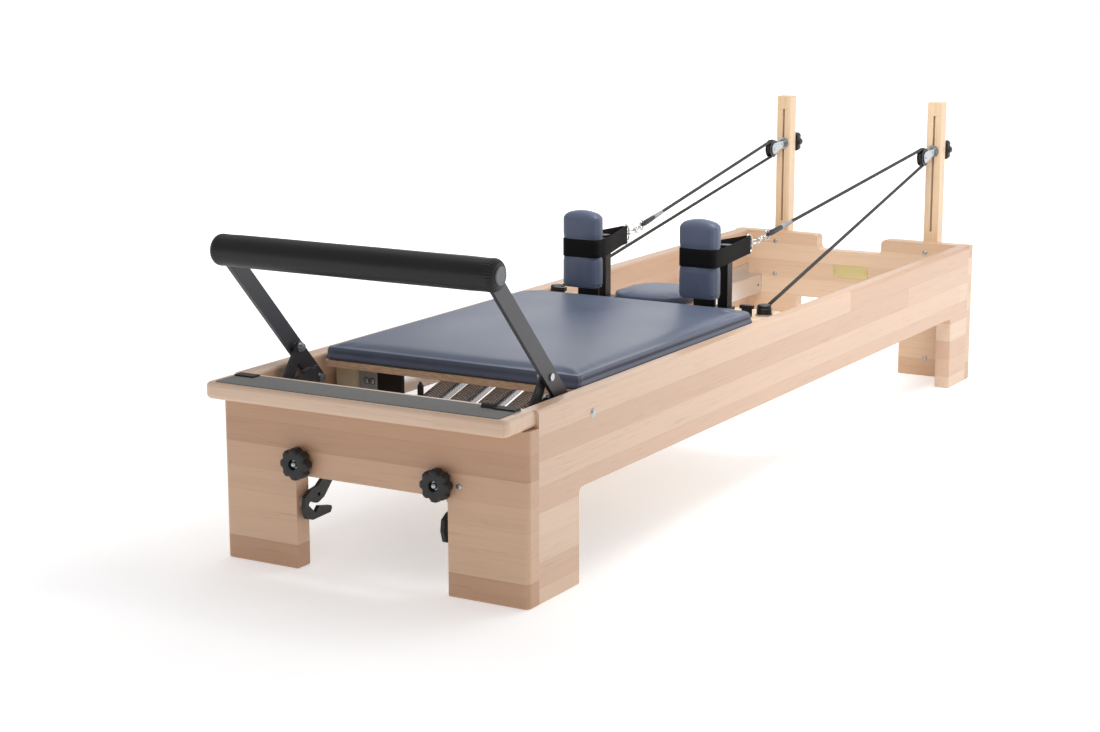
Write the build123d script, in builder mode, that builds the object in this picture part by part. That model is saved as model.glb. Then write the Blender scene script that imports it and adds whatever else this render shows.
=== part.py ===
from build123d import *
import os
from math import atan2, cos, pi, radians, sin

# Pilates reformer, in millimetres. X is across it, +Y runs from the foot end to the head end, Z is up.
# Lengths named ..._y are measured from the front face of the foot end board, and face_y moves them to the row frame.

os.makedirs("parts", exist_ok=True)
sides = (("left", -1), ("right", 1))

# frame
frame_width = 673.0
frame_length = 2286.0
frame_height = 356.0
board_thickness = 38.0
underside_height = 184.0
foot_leg_width = 168.0
foot_leg_depth = 182.0
head_leg_width = 186.0
head_leg_depth = 158.0
corner_radius = 11.0
opening_radius = 12.0
rail_edge_radius = 8.0
head_notch_width = 184.0
head_notch_depth = 40.0
fit_gap = 0.3
shaft_gap = 0.05

# standing platform on the foot end board
platform_set_back = 6.5
platform_overhang = 64.0
platform_thickness = 32.0
grip_side_margin = 20.0
grip_margin = 10.0
grip_depth = 79.0
grip_thickness = 1.6
bumper_thickness = 3.0

# aluminium tracks
track_width = 44.0
track_height = 50.0
track_rise = 2.0
track_wall = 3.0
track_web_height = 26.0
track_web_thickness = 5.0

# risers, pulleys and their knobs
riser_inset = 121.5
riser_width = 40.0
riser_depth = 38.0
riser_bottom_rise = 20.0
riser_above_frame = 366.0
slot_width = 5.6
slot_bottom_rise = 26.0
slot_end_margin = 35.0
mark_spacing = 80.0
pulley_above_frame = 239.0
sheave_y_back = 76.0
sheave_drop = 8.0
rope_diameter = 8.0
sheave_groove_radius = 17.2
sheave_rim_radius = 23.0
sheave_width = 15.0
groove_side_gap = 1.8
sheave_pin_radius = 4.0
bail_radius = 2.5

# star knobs
knob_radius = 32.0
knob_thickness = 22.0
knob_lobes = 8
knob_hub = 6.0
knob_beside_leg = 13.5
knob_above_underside = 26.0
foot_stud_radius = 4.0

# spring gear
spring_bar_y = 100.0
spring_bar_rise = 14.0
spring_bar_radius = 10.0
spring_pitch = 65.0
spring_count = 4
spring_slope = 14.7
spring_radius = 20.0
spring_wall = 5.0
spring_first = 32.0
spring_body = 400.0
spring_end = 34.0
gear_plate_thickness = 8.0
post_y = 170.0
post_radius = 6.0
post_below_top = 8.0

# footbar
arm_width = 36.0
arm_thickness = 8.0
arm_side_gap = 8.5
arm_length = 398.0
arm_angle = 47.0
pivot_y = 232.0
pivot_below_top = 43.0
pivot_radius = 6.0
roll_radius = 30.0
roll_overhang = 16.0
bar_tube_radius = 16.0
strut_reach = 104.0
strut_length = 78.0
strut_lean = 35.0
strut_thickness = 5.0
strut_gap = 5.0
strut_bolt_radius = 4.0
strut_pin_radius = 5.0
rack_thickness = 10.0

# carriage
carriage_front_y = 263.0
carriage_back_y = 1200.0
carriage_below_top = 25.0
ply_thickness = 13.0
cushion_back_y = 1029.0
cushion_thickness = 40.0
cushion_back_radius = 38.0
wheel_radius = 30.0
wheel_width = 24.0
wheel_inset = 107.0
wheel_from_track_edge = 7.5
axle_radius = 4.0
bracket_wall = 6.0
guide_length = 38.0
guide_from_wheel = 4.0
stop_length = 26.0

# shoulder rests, straps and rope fittings
rest_x = 146.0
rest_front_y = 1030.0
rest_width = 94.0
rest_depth = 45.0
rest_waist = 4.0
rest_above_frame = 29.0
rest_height = 169.0
post_x = 154.0
post_back_y = 1175.0
post_size = 24.0
strap_above_rest = 71.0
strap_height = 40.0
strap_thickness = 3.0
strap_end_x = 158.0
strap_end_y = 1272.0
ring_wire = 4.0
ring_depth = 24.0
hook_length = 90.0
sleeve_gap = 2.0
sleeve_length = 100.0
sleeve_from_pulley = 26.0
sleeve_radius = 6.5
reel_inset = 28.0
reel_y = 1138.0
reel_radius = 16.5
reel_height = 20.0
reel_ring_height = 4.0
cleat_from_reel = 26.0
cleat_y = 1104.0
cleat_height = 26.0

# headrest
headrest_front_y = 1056.0
headrest_length = 184.0
headrest_width = 180.0
headrest_radius = 60.0
headrest_board_thickness = 10.0
headrest_pad_thickness = 28.0
headrest_hinge_radius = 3.0
headrest_knuckle_radius = 5.5

# worked out from the sizes above
half_width = frame_width / 2
rail_inner_x = half_width - board_thickness
board_top = frame_height - platform_thickness
head_board_y = frame_length - board_thickness
platform_width = frame_width - 2 * platform_set_back
riser_x = half_width - riser_inset
riser_front_y = frame_length
riser_bottom = underside_height + riser_bottom_rise
riser_top = frame_height + riser_above_frame
slot_bottom = frame_height + slot_bottom_rise
slot_top = riser_top - slot_end_margin
pulley_height = frame_height + pulley_above_frame
track_bottom = underside_height + track_rise
track_top = track_bottom + track_height
track_inner_x = rail_inner_x - track_width
foot_knob_x = half_width - foot_leg_width - knob_beside_leg
foot_knob_z = underside_height + knob_above_underside
spring_bar_z = underside_height + spring_bar_rise
post_top = frame_height - post_below_top
arm_outer_x = rail_inner_x - arm_side_gap
arm_inner_x = arm_outer_x - arm_thickness
half_roll = arm_outer_x + roll_overhang
pivot_z = frame_height - pivot_below_top
bar_y = pivot_y - arm_length * cos(radians(arm_angle))
bar_z = pivot_z + arm_length * sin(radians(arm_angle))
front_reach = min(bar_y - roll_radius, -platform_overhang)
rear_reach = riser_front_y + riser_depth + knob_hub + knob_thickness
face_y = -(front_reach + rear_reach) / 2
carriage_width = 2 * arm_outer_x
carriage_bottom = frame_height - carriage_below_top
board_z = carriage_bottom + ply_thickness
wheel_inner_x = track_inner_x + wheel_from_track_edge
axle_z = track_top + fit_gap + wheel_radius
rest_bottom = frame_height + rest_above_frame
strap_bottom = rest_bottom + strap_above_rest
strap_middle = strap_bottom + strap_height / 2
ring_bar_y = strap_end_y - ring_wire
ring_end_y = ring_bar_y + ring_depth
sleeve_start = hook_length + sleeve_gap
sleeve_stop = sleeve_start + sleeve_length
reel_x = carriage_width / 2 - reel_inset
cleat_x = reel_x - cleat_from_reel
sheave_y = riser_front_y - sheave_y_back
sheave_z = pulley_height - sheave_drop
rope_wrap_radius = sheave_groove_radius + rope_diameter / 2 + fit_gap
carriage_travel = sheave_y - ring_end_y - sleeve_stop - sleeve_from_pulley
strut_bolt_y = pivot_y - strut_reach * cos(radians(arm_angle))
strut_bolt_z = pivot_z + strut_reach * sin(radians(arm_angle))
strut_outer_x = arm_inner_x - strut_gap
strut_inner_x = strut_outer_x - strut_thickness
strut_pin_y = strut_bolt_y - strut_length * sin(radians(strut_lean))
strut_pin_z = strut_bolt_z - strut_length * cos(radians(strut_lean))
rack_y = strut_pin_y - strut_bolt_y + pivot_y
rack_z = strut_pin_z - strut_bolt_z + pivot_z
rack_radius = strut_reach - strut_pin_radius - 1
spring_xs = [(i - (spring_count - 1) / 2) * spring_pitch for i in range(spring_count)]
wheel_ys = (carriage_front_y + wheel_inset, carriage_back_y - wheel_inset)
wheel_names = ("foot", "head")


def finish(builder, node):
    """Labels a sub-part and writes it as one STEP."""
    builder.part.label = node
    export_step(builder.part, f"parts/{node}.step")


def block(x, y, z, mode=Mode.ADD):
    """A box between two x, two y (from the foot board's face) and two z values."""
    centre = (sum(x) / 2, face_y + sum(y) / 2, sum(z) / 2)
    with Locations(centre):
        return Box(abs(x[1] - x[0]), abs(y[1] - y[0]), abs(z[1] - z[0]), mode=mode)


def rod(start, end, radius, mode=Mode.ADD):
    """A round bar between two points whose y is from the foot board's face."""
    a = Vector(start[0], face_y + start[1], start[2])
    b = Vector(end[0], face_y + end[1], end[2])
    low = (Align.CENTER, Align.CENTER, Align.MIN)
    with Locations(Plane(origin=a, z_dir=b - a)):
        return Cylinder(radius, (b - a).length, align=low, mode=mode)


def dome_screw(point, outward, head_radius, shank_radius, shank_length):
    """A domed screw: head proud of a face at point, shank going in against outward."""
    origin = Vector(point[0], face_y + point[1], point[2])
    up = Vector(0, 0, 1)
    rise = head_radius * 0.4
    with BuildSketch(Plane(origin=origin, x_dir=up, z_dir=up.cross(Vector(*outward) * -1))) as profile:
        with BuildLine():
            Polyline((head_radius, 0), (shank_radius, 0), (shank_radius, shank_length), (0, shank_length), (0, -rise))
            ThreePointArc((0, -rise), (head_radius * 0.7, -rise * 0.6), (head_radius, 0))
        make_face()
    revolve(profile.sketch, axis=Axis(origin, outward))


# ---- frame ----
front_screw_x = foot_knob_x + 38.0
front_screw_z = foot_knob_z - 2.0
leg_screw_x = riser_x + 10.0
leg_screw_z = 48.0
riser_screw_z = (underside_height + 56.0, frame_height - 26.0)
screw_head_radius = 9.0
screw_shank_radius = 3.0
screw_shank_length = 24.0

with BuildPart() as foot_end_board:
    with BuildSketch(Plane.XZ.offset(-face_y)) as outline:
        with Locations((0, board_top / 2)):
            Rectangle(frame_width, board_top)
        with Locations((0, underside_height / 2)):
            Rectangle(frame_width - 2 * foot_leg_width, underside_height, mode=Mode.SUBTRACT)
        fillet(outline.vertices().filter_by_position(Axis.Y, 1, board_top - 1), opening_radius)
    extrude(amount=-board_thickness)
    uprights = foot_end_board.edges().filter_by(Axis.Z).group_by(Axis.Y)[0].sort_by(Axis.X)
    fillet([uprights[0], uprights[-1]], corner_radius)
    chamfer(foot_end_board.faces().sort_by(Axis.Z)[0:2].edges(), 2)
    for x in (-foot_knob_x, foot_knob_x):
        rod((x, -1, foot_knob_z), (x, board_thickness + 1, foot_knob_z), foot_stud_radius + shaft_gap, Mode.SUBTRACT)
    for x in (-front_screw_x, front_screw_x):
        rod((x, -1, front_screw_z), (x, board_thickness + 1, front_screw_z), screw_shank_radius + 0.1, Mode.SUBTRACT)
finish(foot_end_board, "foot_end_board")

with BuildPart() as head_end_board:
    with BuildSketch(Plane.XZ.offset(-face_y - head_board_y)) as outline:
        with Locations((0, frame_height / 2)):
            Rectangle(frame_width, frame_height)
        with Locations((0, underside_height / 2)):
            Rectangle(frame_width - 2 * head_leg_width, underside_height, mode=Mode.SUBTRACT)
        with Locations((0, frame_height)):
            Rectangle(head_notch_width, 2 * head_notch_depth, mode=Mode.SUBTRACT)
        inside = outline.vertices().filter_by_position(Axis.X, -half_width + 1, half_width - 1)
        fillet(inside.filter_by_position(Axis.Y, 1, frame_height + 1), opening_radius)
    extrude(amount=-board_thickness)
    uprights = head_end_board.edges().filter_by(Axis.Z).group_by(Axis.Y)[-1].sort_by(Axis.X)
    fillet([uprights[0], uprights[-1]], corner_radius)
    chamfer(head_end_board.faces().sort_by(Axis.Z)[0:2].edges(), 2)
    for x in (-riser_x, riser_x):
        for z in riser_screw_z:
            rod((x, head_board_y - 1, z), (x, frame_length + 1, z), screw_shank_radius + 0.1, Mode.SUBTRACT)
    for x in (-leg_screw_x, leg_screw_x):
        rod((x, head_board_y - 1, leg_screw_z), (x, head_board_y + 30, leg_screw_z), screw_shank_radius + 0.1,
            Mode.SUBTRACT)
finish(head_end_board, "head_end_board")

for side, s in sides:
    with BuildPart() as side_rail:
        with BuildSketch(Plane.YZ.offset(s * half_width)) as outline:
            rail_length = head_board_y - board_thickness
            with Locations((face_y + board_thickness + rail_length / 2, frame_height / 2)):
                Rectangle(rail_length, frame_height)
            span = frame_length - foot_leg_depth - head_leg_depth
            with Locations((face_y + foot_leg_depth + span / 2, underside_height / 2)):
                Rectangle(span, underside_height, mode=Mode.SUBTRACT)
            fillet(outline.vertices().filter_by_position(Axis.Y, 1, frame_height - 1), opening_radius)
        extrude(amount=-s * board_thickness)
        fillet(side_rail.faces().sort_by(Axis.Z)[-1].edges().filter_by(Axis.Y), rail_edge_radius)
        chamfer(side_rail.faces().sort_by(Axis.Z)[0:2].edges(), 2)
        rod((s * (half_width + 1), pivot_y, pivot_z), (s * (rail_inner_x - 1), pivot_y, pivot_z),
            pivot_radius + 0.1, Mode.SUBTRACT)
    finish(side_rail, f"{side}_side_rail")

with BuildPart() as standing_platform:
    depth = platform_overhang + board_thickness
    with BuildSketch(Plane.XY.offset(board_top)) as outline:
        with Locations((0, face_y - platform_overhang + depth / 2)):
            Rectangle(platform_width, depth)
        fillet(outline.vertices().group_by(Axis.Y)[0], 16)
    extrude(amount=platform_thickness)
    front = standing_platform.faces().filter_by(Axis.Z)
    rim = [e for e in front.edges() if e.center().Y < face_y + board_thickness - 1]
    fillet(rim, 9)
finish(standing_platform, "standing_platform")

with BuildPart() as grip_strip:
    with BuildSketch(Plane.XY.offset(frame_height)) as outline:
        with Locations((0, face_y - platform_overhang + grip_margin + grip_depth / 2)):
            RectangleRounded(platform_width - 2 * grip_side_margin, grip_depth, 4)
    extrude(amount=grip_thickness)
finish(grip_strip, "grip_strip")

bumper_outer_x = half_width - 28.5
bumper_length = 44.0
round_bumper_radius = 8.0
with BuildPart() as footbar_bumpers:
    top = frame_height + grip_thickness
    round_x = (bumper_outer_x - bumper_length - 27, bumper_outer_x - bumper_length - 1)
    rod((round_x[0], 12.5, top), (round_x[1], 12.5, top), round_bumper_radius)
    block(round_x, (0, 25), (top - 10, top), Mode.SUBTRACT)
    for side, s in sides:
        block((s * (bumper_outer_x - bumper_length), s * bumper_outer_x), (2, 23), (top, top + bumper_thickness))
finish(footbar_bumpers, "footbar_bumpers")

with BuildPart() as tracks:
    for side, s in sides:
        with BuildSketch(Plane.XZ.offset(-face_y - board_thickness - fit_gap)):
            outer_x = rail_inner_x - fit_gap
            middle = s * (outer_x - track_width / 2)
            with Locations((middle, track_bottom + track_height / 2)):
                Rectangle(track_width, track_height)
                Rectangle(track_width - 2 * track_wall, track_height - 2 * track_wall, mode=Mode.SUBTRACT)
            with Locations((s * (outer_x - track_web_thickness / 2), track_top + track_web_height / 2 - 0.5)):
                Rectangle(track_web_thickness, track_web_height + 1)
        extrude(amount=-(head_board_y - board_thickness - 2 * fit_gap))
        wall_x = s * (outer_x - track_width)
        rod((wall_x - s, head_board_y - 22, track_bottom + 22), (wall_x + s * 5, head_board_y - 22, track_bottom + 22),
            4, Mode.SUBTRACT)
finish(tracks, "tracks")

with BuildPart() as pulley_risers:
    for side, s in sides:
        block((s * (riser_x - riser_width / 2), s * (riser_x + riser_width / 2)),
              (riser_front_y, riser_front_y + riser_depth), (riser_bottom, riser_top))
    fillet(pulley_risers.edges().filter_by(Axis.Z), 2.5)
    chamfer(pulley_risers.faces().sort_by(Axis.Z)[-2:].edges(), 1.5)
    for side, s in sides:
        block((s * riser_x - slot_width / 2, s * riser_x + slot_width / 2),
              (riser_front_y - 1, riser_front_y + riser_depth + 1), (slot_bottom, slot_top), Mode.SUBTRACT)
        for step in range(-2, 2):
            z = pulley_height + 11 + step * mark_spacing
            block((s * (riser_x - riser_width), s * (riser_x + riser_width)),
                  (riser_front_y - 1, riser_front_y + 0.6), (z, z + 1), Mode.SUBTRACT)
        for z in riser_screw_z:
            rod((s * riser_x, riser_front_y - 1, z), (s * riser_x, riser_front_y + 20, z), screw_shank_radius + 0.1,
                Mode.SUBTRACT)
finish(pulley_risers, "pulley_risers")

with BuildPart() as frame_screws:
    for side, s in sides:
        dome_screw((s * front_screw_x, 0, front_screw_z), (0, -1, 0), screw_head_radius, screw_shank_radius,
                   screw_shank_length)
        for z in riser_screw_z:
            dome_screw((s * riser_x, head_board_y, z), (0, -1, 0), screw_head_radius, screw_shank_radius,
                       board_thickness + 16)
        dome_screw((s * leg_screw_x, head_board_y, leg_screw_z), (0, -1, 0), screw_head_radius, screw_shank_radius,
                   screw_shank_length)
finish(frame_screws, "frame_screws")

with BuildPart() as name_plate:
    block((-43, 57), (head_board_y - 1.2, head_board_y), (underside_height + 61, underside_height + 95))
    chamfer(name_plate.faces().sort_by(Axis.Y)[0].edges(), 0.5)
finish(name_plate, "name_plate")

# ---- spring gear ----
# y from the board's face and z from the spring bar's axis
hook_outline = [
    (58, 64), (70, 26), (128, 26), (128, -18), (104, -27), (90, -44), (64, -69), (45, -76), (36, -75), (20, -68),
    (14, -74), (20, -80), (36, -94), (48, -83), (86, -91), (88, -97), (83, -104), (27, -106), (8, -100), (1, -78),
    (4, -58), (20, -48), (45, -44), (62, -32), (62, -8), (board_thickness + fit_gap, -2),
    (board_thickness + fit_gap, 64),
]
with BuildPart() as gear_brackets:
    for side, s in sides:
        inner = s * (foot_knob_x - gear_plate_thickness / 2)
        with BuildSketch(Plane.YZ.offset(inner)) as outline:
            with BuildLine():
                Polyline([(face_y + y, spring_bar_z + z) for y, z in hook_outline], close=True)
            make_face()
            fillet(outline.vertices().filter_by_position(Axis.Y, spring_bar_z - 108, spring_bar_z - 8), 2)
            with Locations((face_y + spring_bar_y, spring_bar_z)):
                Circle(spring_bar_radius + 0.15, mode=Mode.SUBTRACT)
            with Locations((face_y + 47.6, spring_bar_z - 60.5)):
                Circle(4, mode=Mode.SUBTRACT)
        extrude(amount=s * gear_plate_thickness)
        block((inner, inner + s * 34), (board_thickness + fit_gap, board_thickness + fit_gap + 5),
              (spring_bar_z + 2, spring_bar_z + 64))
finish(gear_brackets, "gear_brackets")

spring_run = Vector(0, cos(radians(spring_slope)), sin(radians(spring_slope)))


def on_spring(x, along):
    """The point of a spring's axis that is so far from the spring bar's axis."""
    return (x, spring_bar_y + along * spring_run.Y, spring_bar_z + along * spring_run.Z)


with BuildPart() as spring_bar:
    rod((-foot_knob_x - 22, spring_bar_y, spring_bar_z), (foot_knob_x + 22, spring_bar_y, spring_bar_z),
        spring_bar_radius)
    for x in spring_xs:
        rod(on_spring(x, 0), on_spring(x, spring_first - 10), 5)
finish(spring_bar, "spring_bar")

with BuildPart() as center_post:
    foot_z = spring_bar_z + 14
    block((-9, 9), (board_thickness + fit_gap, post_y + 10), (foot_z, foot_z + 6))
    block((-9, 9), (board_thickness + fit_gap, board_thickness + fit_gap + 5), (foot_z + 6, foot_z + 38))
    rod((0, post_y, foot_z + 5), (0, post_y, post_top - 8), post_radius)
    with Locations((0, face_y + post_y, post_top - 4)):
        Cone(post_radius, 1.5, 8)
finish(center_post, "center_post")

for number, x in enumerate(spring_xs, 1):
    with BuildPart() as spring:
        rod(on_spring(x, spring_first), on_spring(x, spring_first + spring_body), spring_radius)
        rod(on_spring(x, spring_first + 6), on_spring(x, spring_first + spring_body - 6),
            spring_radius - spring_wall, Mode.SUBTRACT)
        rod(on_spring(x, spring_first - 9), on_spring(x, spring_first + 3), 4)
        rod(on_spring(x, spring_first + spring_body - 3), on_spring(x, spring_first + spring_body + spring_end), 4)
    finish(spring, f"spring_{number}")

# ---- footbar, struts and racks ----
strut_foot_radius = 13.0
strut_head_radius = 11.0


def arm_point(along, across=0.0):
    """The y and z of a point on an arm: along it from the pivot, and across it."""
    a = radians(arm_angle)
    return (face_y + pivot_y - along * cos(a) + across * sin(a), pivot_z + along * sin(a) + across * cos(a))


with BuildPart() as footbar_arms:
    for side, s in sides:
        with BuildSketch(Plane.YZ.offset(s * arm_inner_x)) as outline:
            with BuildLine():
                half = arm_width / 2
                low = arm_point(0, -half)
                high = arm_point(0, half)
                Line(low, arm_point(arm_length, -half))
                Line(arm_point(arm_length, -half), arm_point(arm_length, half))
                Line(arm_point(arm_length, half), high)
                ThreePointArc(high, arm_point(-half), low)
            make_face()
            with Locations(arm_point(arm_length)):
                Circle(roll_radius - 7)
                Circle(bar_tube_radius + 0.1, mode=Mode.SUBTRACT)
            with Locations(arm_point(0)):
                Circle(pivot_radius + shaft_gap, mode=Mode.SUBTRACT)
            with Locations(arm_point(strut_reach)):
                Circle(strut_bolt_radius + 0.1, mode=Mode.SUBTRACT)
        extrude(amount=s * arm_thickness)
finish(footbar_arms, "footbar_arms")

end_disc_thickness = 3.0
with BuildPart() as footbar_tube:
    half_tube = half_roll - 2
    rod((-half_tube, bar_y, bar_z), (half_tube, bar_y, bar_z), bar_tube_radius)
    rod((-half_tube - 1, bar_y, bar_z), (half_tube + 1, bar_y, bar_z), bar_tube_radius - 2.5, Mode.SUBTRACT)
    for side, s in sides:
        rod((s * half_tube, bar_y, bar_z), (s * (half_roll + end_disc_thickness), bar_y, bar_z), bar_tube_radius)
        rod((s * (half_tube - 12), bar_y, bar_z), (s * half_tube, bar_y, bar_z), bar_tube_radius - 2.7)
finish(footbar_tube, "footbar_tube")

with BuildPart() as footbar_roll:
    rod((-half_roll, bar_y, bar_z), (half_roll, bar_y, bar_z), roll_radius)
    fillet(footbar_roll.edges(), 6)
    rod((-half_roll - 1, bar_y, bar_z), (half_roll + 1, bar_y, bar_z), bar_tube_radius + 0.2, Mode.SUBTRACT)
    for side, s in sides:
        with BuildSketch(Plane.YZ.offset(s * (arm_inner_x - fit_gap))) as slot:
            with BuildLine():
                half = arm_width / 2 + fit_gap
                corners = [arm_point(arm_length + 1, -half), arm_point(arm_length - roll_radius - 5, -half),
                           arm_point(arm_length - roll_radius - 5, half), arm_point(arm_length + 1, half)]
                Polyline(corners, close=True)
            make_face()
            with Locations(arm_point(arm_length)):
                Circle(roll_radius - 7 + fit_gap)
        extrude(amount=s * (arm_thickness + 2 * fit_gap), mode=Mode.SUBTRACT)
finish(footbar_roll, "footbar_roll")

with BuildPart() as strut_bolts:
    for side, s in sides:
        bolt = (strut_bolt_y, strut_bolt_z)
        rod((s * (strut_inner_x - 9), *bolt), (s * (arm_outer_x + 1), *bolt), strut_bolt_radius)
        rod((s * arm_outer_x, *bolt), (s * (arm_outer_x + 3), *bolt), 7)
        rod((s * (strut_outer_x + fit_gap), *bolt), (s * arm_inner_x, *bolt), 8)
        rod((s * (strut_inner_x - 2 - fit_gap), *bolt), (s * (strut_inner_x - fit_gap), *bolt), 10)
        rod((s * (strut_inner_x - 8), *bolt), (s * (strut_inner_x - 2), *bolt), 7)
finish(strut_bolts, "strut_bolts")

for side, s in sides:
    with BuildPart() as strut:
        with BuildSketch(Plane.YZ.offset(s * strut_inner_x)) as outline:
            run = (strut_pin_y - strut_bolt_y, strut_pin_z - strut_bolt_z)
            across = (-run[1] / strut_length, run[0] / strut_length)
            head = (face_y + strut_bolt_y, strut_bolt_z)
            foot = (face_y + strut_pin_y, strut_pin_z)
            with BuildLine():
                wide = strut_foot_radius + 3
                Polyline(
                    (head[0] + across[0] * strut_head_radius, head[1] + across[1] * strut_head_radius),
                    (foot[0] + across[0] * wide, foot[1] + across[1] * wide),
                    (foot[0] - across[0] * wide, foot[1] - across[1] * wide),
                    (head[0] - across[0] * strut_head_radius, head[1] - across[1] * strut_head_radius),
                    close=True,
                )
            make_face()
            with Locations(head):
                Circle(strut_head_radius)
            with Locations(foot):
                Circle(strut_foot_radius)
            with Locations(head):
                Circle(strut_bolt_radius + shaft_gap, mode=Mode.SUBTRACT)
        extrude(amount=s * strut_thickness)
        rod((s * (strut_inner_x + 1), strut_pin_y, strut_pin_z), (s * (strut_inner_x - 14), strut_pin_y, strut_pin_z),
            strut_pin_radius)
    finish(strut, f"{side}_strut")

rack_bottom = track_top + 8
with BuildPart() as footbar_racks:
    for side, s in sides:
        rack_x = strut_inner_x - 3
        with BuildSketch(Plane.YZ.offset(s * rack_x)) as outline:
            with Locations((face_y + rack_y, rack_z)):
                Circle(rack_radius)
                Circle(rack_radius - 40, mode=Mode.SUBTRACT)
            with Locations((face_y + rack_y, rack_bottom - 200)):
                Rectangle(400, 400, mode=Mode.SUBTRACT)
            with Locations((face_y + rack_y + 200 + 14, rack_z)):
                Rectangle(400, 400, mode=Mode.SUBTRACT)
            for angle in (18.5, arm_angle, 68.0, 90.0):
                a = radians(angle)
                with Locations((face_y + rack_y - strut_reach * cos(a), rack_z + strut_reach * sin(a))):
                    Circle(strut_pin_radius + 5, mode=Mode.SUBTRACT)
        extrude(amount=-s * rack_thickness)
        block((s * (rack_x - rack_thickness), s * (rail_inner_x - track_web_thickness - 1)),
              (rack_y - 40, rack_y + 20), (track_top + track_web_height + 2, track_top + track_web_height + 26))
        block((s * (rail_inner_x - track_web_thickness - 2), s * (rail_inner_x - fit_gap)),
              (rack_y - 40, rack_y + 20), (track_top + track_web_height + 2, track_top + track_web_height + 26))
finish(footbar_racks, "footbar_racks")

with BuildPart() as pivot_bolts:
    for side, s in sides:
        dome_screw((s * half_width, pivot_y, pivot_z), (s, 0, 0), screw_head_radius, pivot_radius,
                   half_width - strut_inner_x + 2)
        bolt = (pivot_y, pivot_z)
        rod((s * (arm_outer_x + fit_gap), *bolt), (s * (rail_inner_x - fit_gap), *bolt), 13)
        rod((s * (arm_inner_x - fit_gap - 2), *bolt), (s * (arm_inner_x - fit_gap), *bolt), 12)
        rod((s * (strut_inner_x - 1), *bolt), (s * (arm_inner_x - 2), *bolt), 9.5)
finish(pivot_bolts, "pivot_bolts")


# ---- knobs ----
def star_knob(x, face, z, outward):
    """A lobed knob whose hub stands on a face; outward is -1 towards the foot end, 1 towards the head end."""
    hub_end = face + outward * knob_hub
    back = face_y + hub_end
    with BuildSketch(Plane(origin=(x, back, z), x_dir=(1, 0, 0), z_dir=(0, outward, 0))) as outline:
        Circle(knob_radius - 1.5)
        with PolarLocations(knob_radius + 5.5, knob_lobes):
            Circle(8.5, mode=Mode.SUBTRACT)
        fillet(outline.vertices(), 2.5)
    extrude(outline.sketch, amount=knob_thickness)
    rod((x, face + outward * fit_gap, z), (x, hub_end + outward, z), 13)
    tip = hub_end + outward * knob_thickness
    rod((x, tip - outward * 9, z), (x, tip + outward, z), 9, Mode.SUBTRACT)
    return tip


for side, s in sides:
    with BuildPart() as foot_knob:
        tip = star_knob(s * foot_knob_x, 0, foot_knob_z, -1)
        rod((s * foot_knob_x, tip + 4, foot_knob_z), (s * foot_knob_x, board_thickness - 2, foot_knob_z),
            foot_stud_radius)
    finish(foot_knob, f"{side}_foot_knob")

for side, s in sides:
    with BuildPart() as riser_knob:
        behind = riser_front_y + riser_depth
        tip = star_knob(s * riser_x, behind, pulley_height, 1)
        rod((s * riser_x, behind, pulley_height), (s * riser_x, tip - 12, pulley_height), 2.6, Mode.SUBTRACT)
    finish(riser_knob, f"{side}_riser_knob")

# ---- pulleys ----
bail_y = riser_front_y - 28.0
with BuildPart() as eyebolts:
    for side, s in sides:
        x = s * riser_x
        rod((x, bail_y + 4, pulley_height), (x, riser_front_y + riser_depth + knob_hub + 9, pulley_height), 2.5)
        with BuildSketch(Plane.YZ.offset(x)):
            with Locations((face_y + bail_y, pulley_height)):
                Circle(7.5)
                Circle(bail_radius + 1.0, mode=Mode.SUBTRACT)
        extrude(amount=2.5, both=True)
        rod((x, riser_front_y - 4, pulley_height), (x, riser_front_y, pulley_height), 15.5)
        rod((x, riser_front_y - 10, pulley_height), (x, riser_front_y - 4, pulley_height), 11)
        rod((x, riser_front_y - 14, pulley_height), (x, riser_front_y - 10, pulley_height), 8)
finish(eyebolts, "eyebolts")

cheek_thickness = 2.0
with BuildPart() as pulley_cheeks:
    for side, s in sides:
        for lean in (-1, 1):
            inner = s * riser_x + lean * (sheave_width / 2 + 0.7)
            with BuildSketch(Plane.YZ.offset(inner)) as outline:
                ends = [(face_y + sheave_y, sheave_z), (face_y + bail_y, pulley_height)]
                with Locations(ends[0]):
                    Circle(15)
                with Locations(ends[1]):
                    Circle(8)
                make_hull(outline.edges())
            extrude(amount=lean * cheek_thickness)
        reach = sheave_width / 2 + 0.7 + cheek_thickness + 1.5
        x = s * riser_x
        rod((x - reach, sheave_y, sheave_z), (x + reach, sheave_y, sheave_z), sheave_pin_radius)
        rod((x - reach, bail_y, pulley_height), (x + reach, bail_y, pulley_height), bail_radius)
finish(pulley_cheeks, "pulley_cheeks")

for side, s in sides:
    with BuildPart() as sheave:
        centre = Vector(s * riser_x, face_y + sheave_y, sheave_z)
        with BuildSketch(Plane(origin=centre, x_dir=(0, 1, 0), z_dir=(0, 0, 1))) as outline:
            half = sheave_width / 2
            with Locations(((sheave_rim_radius + sheave_pin_radius + shaft_gap) / 2, 0)):
                Rectangle(sheave_rim_radius - sheave_pin_radius - shaft_gap, sheave_width)
            with Locations((rope_wrap_radius + groove_side_gap - fit_gap, 0)):
                Circle(rope_diameter / 2 + groove_side_gap, mode=Mode.SUBTRACT)
            with Locations((rope_wrap_radius + 10, 0)):
                Rectangle(20, rope_diameter + 2 * groove_side_gap, mode=Mode.SUBTRACT)
        revolve(axis=Axis(centre, (1, 0, 0)))
    finish(sheave, f"{side}_sheave")

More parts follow.
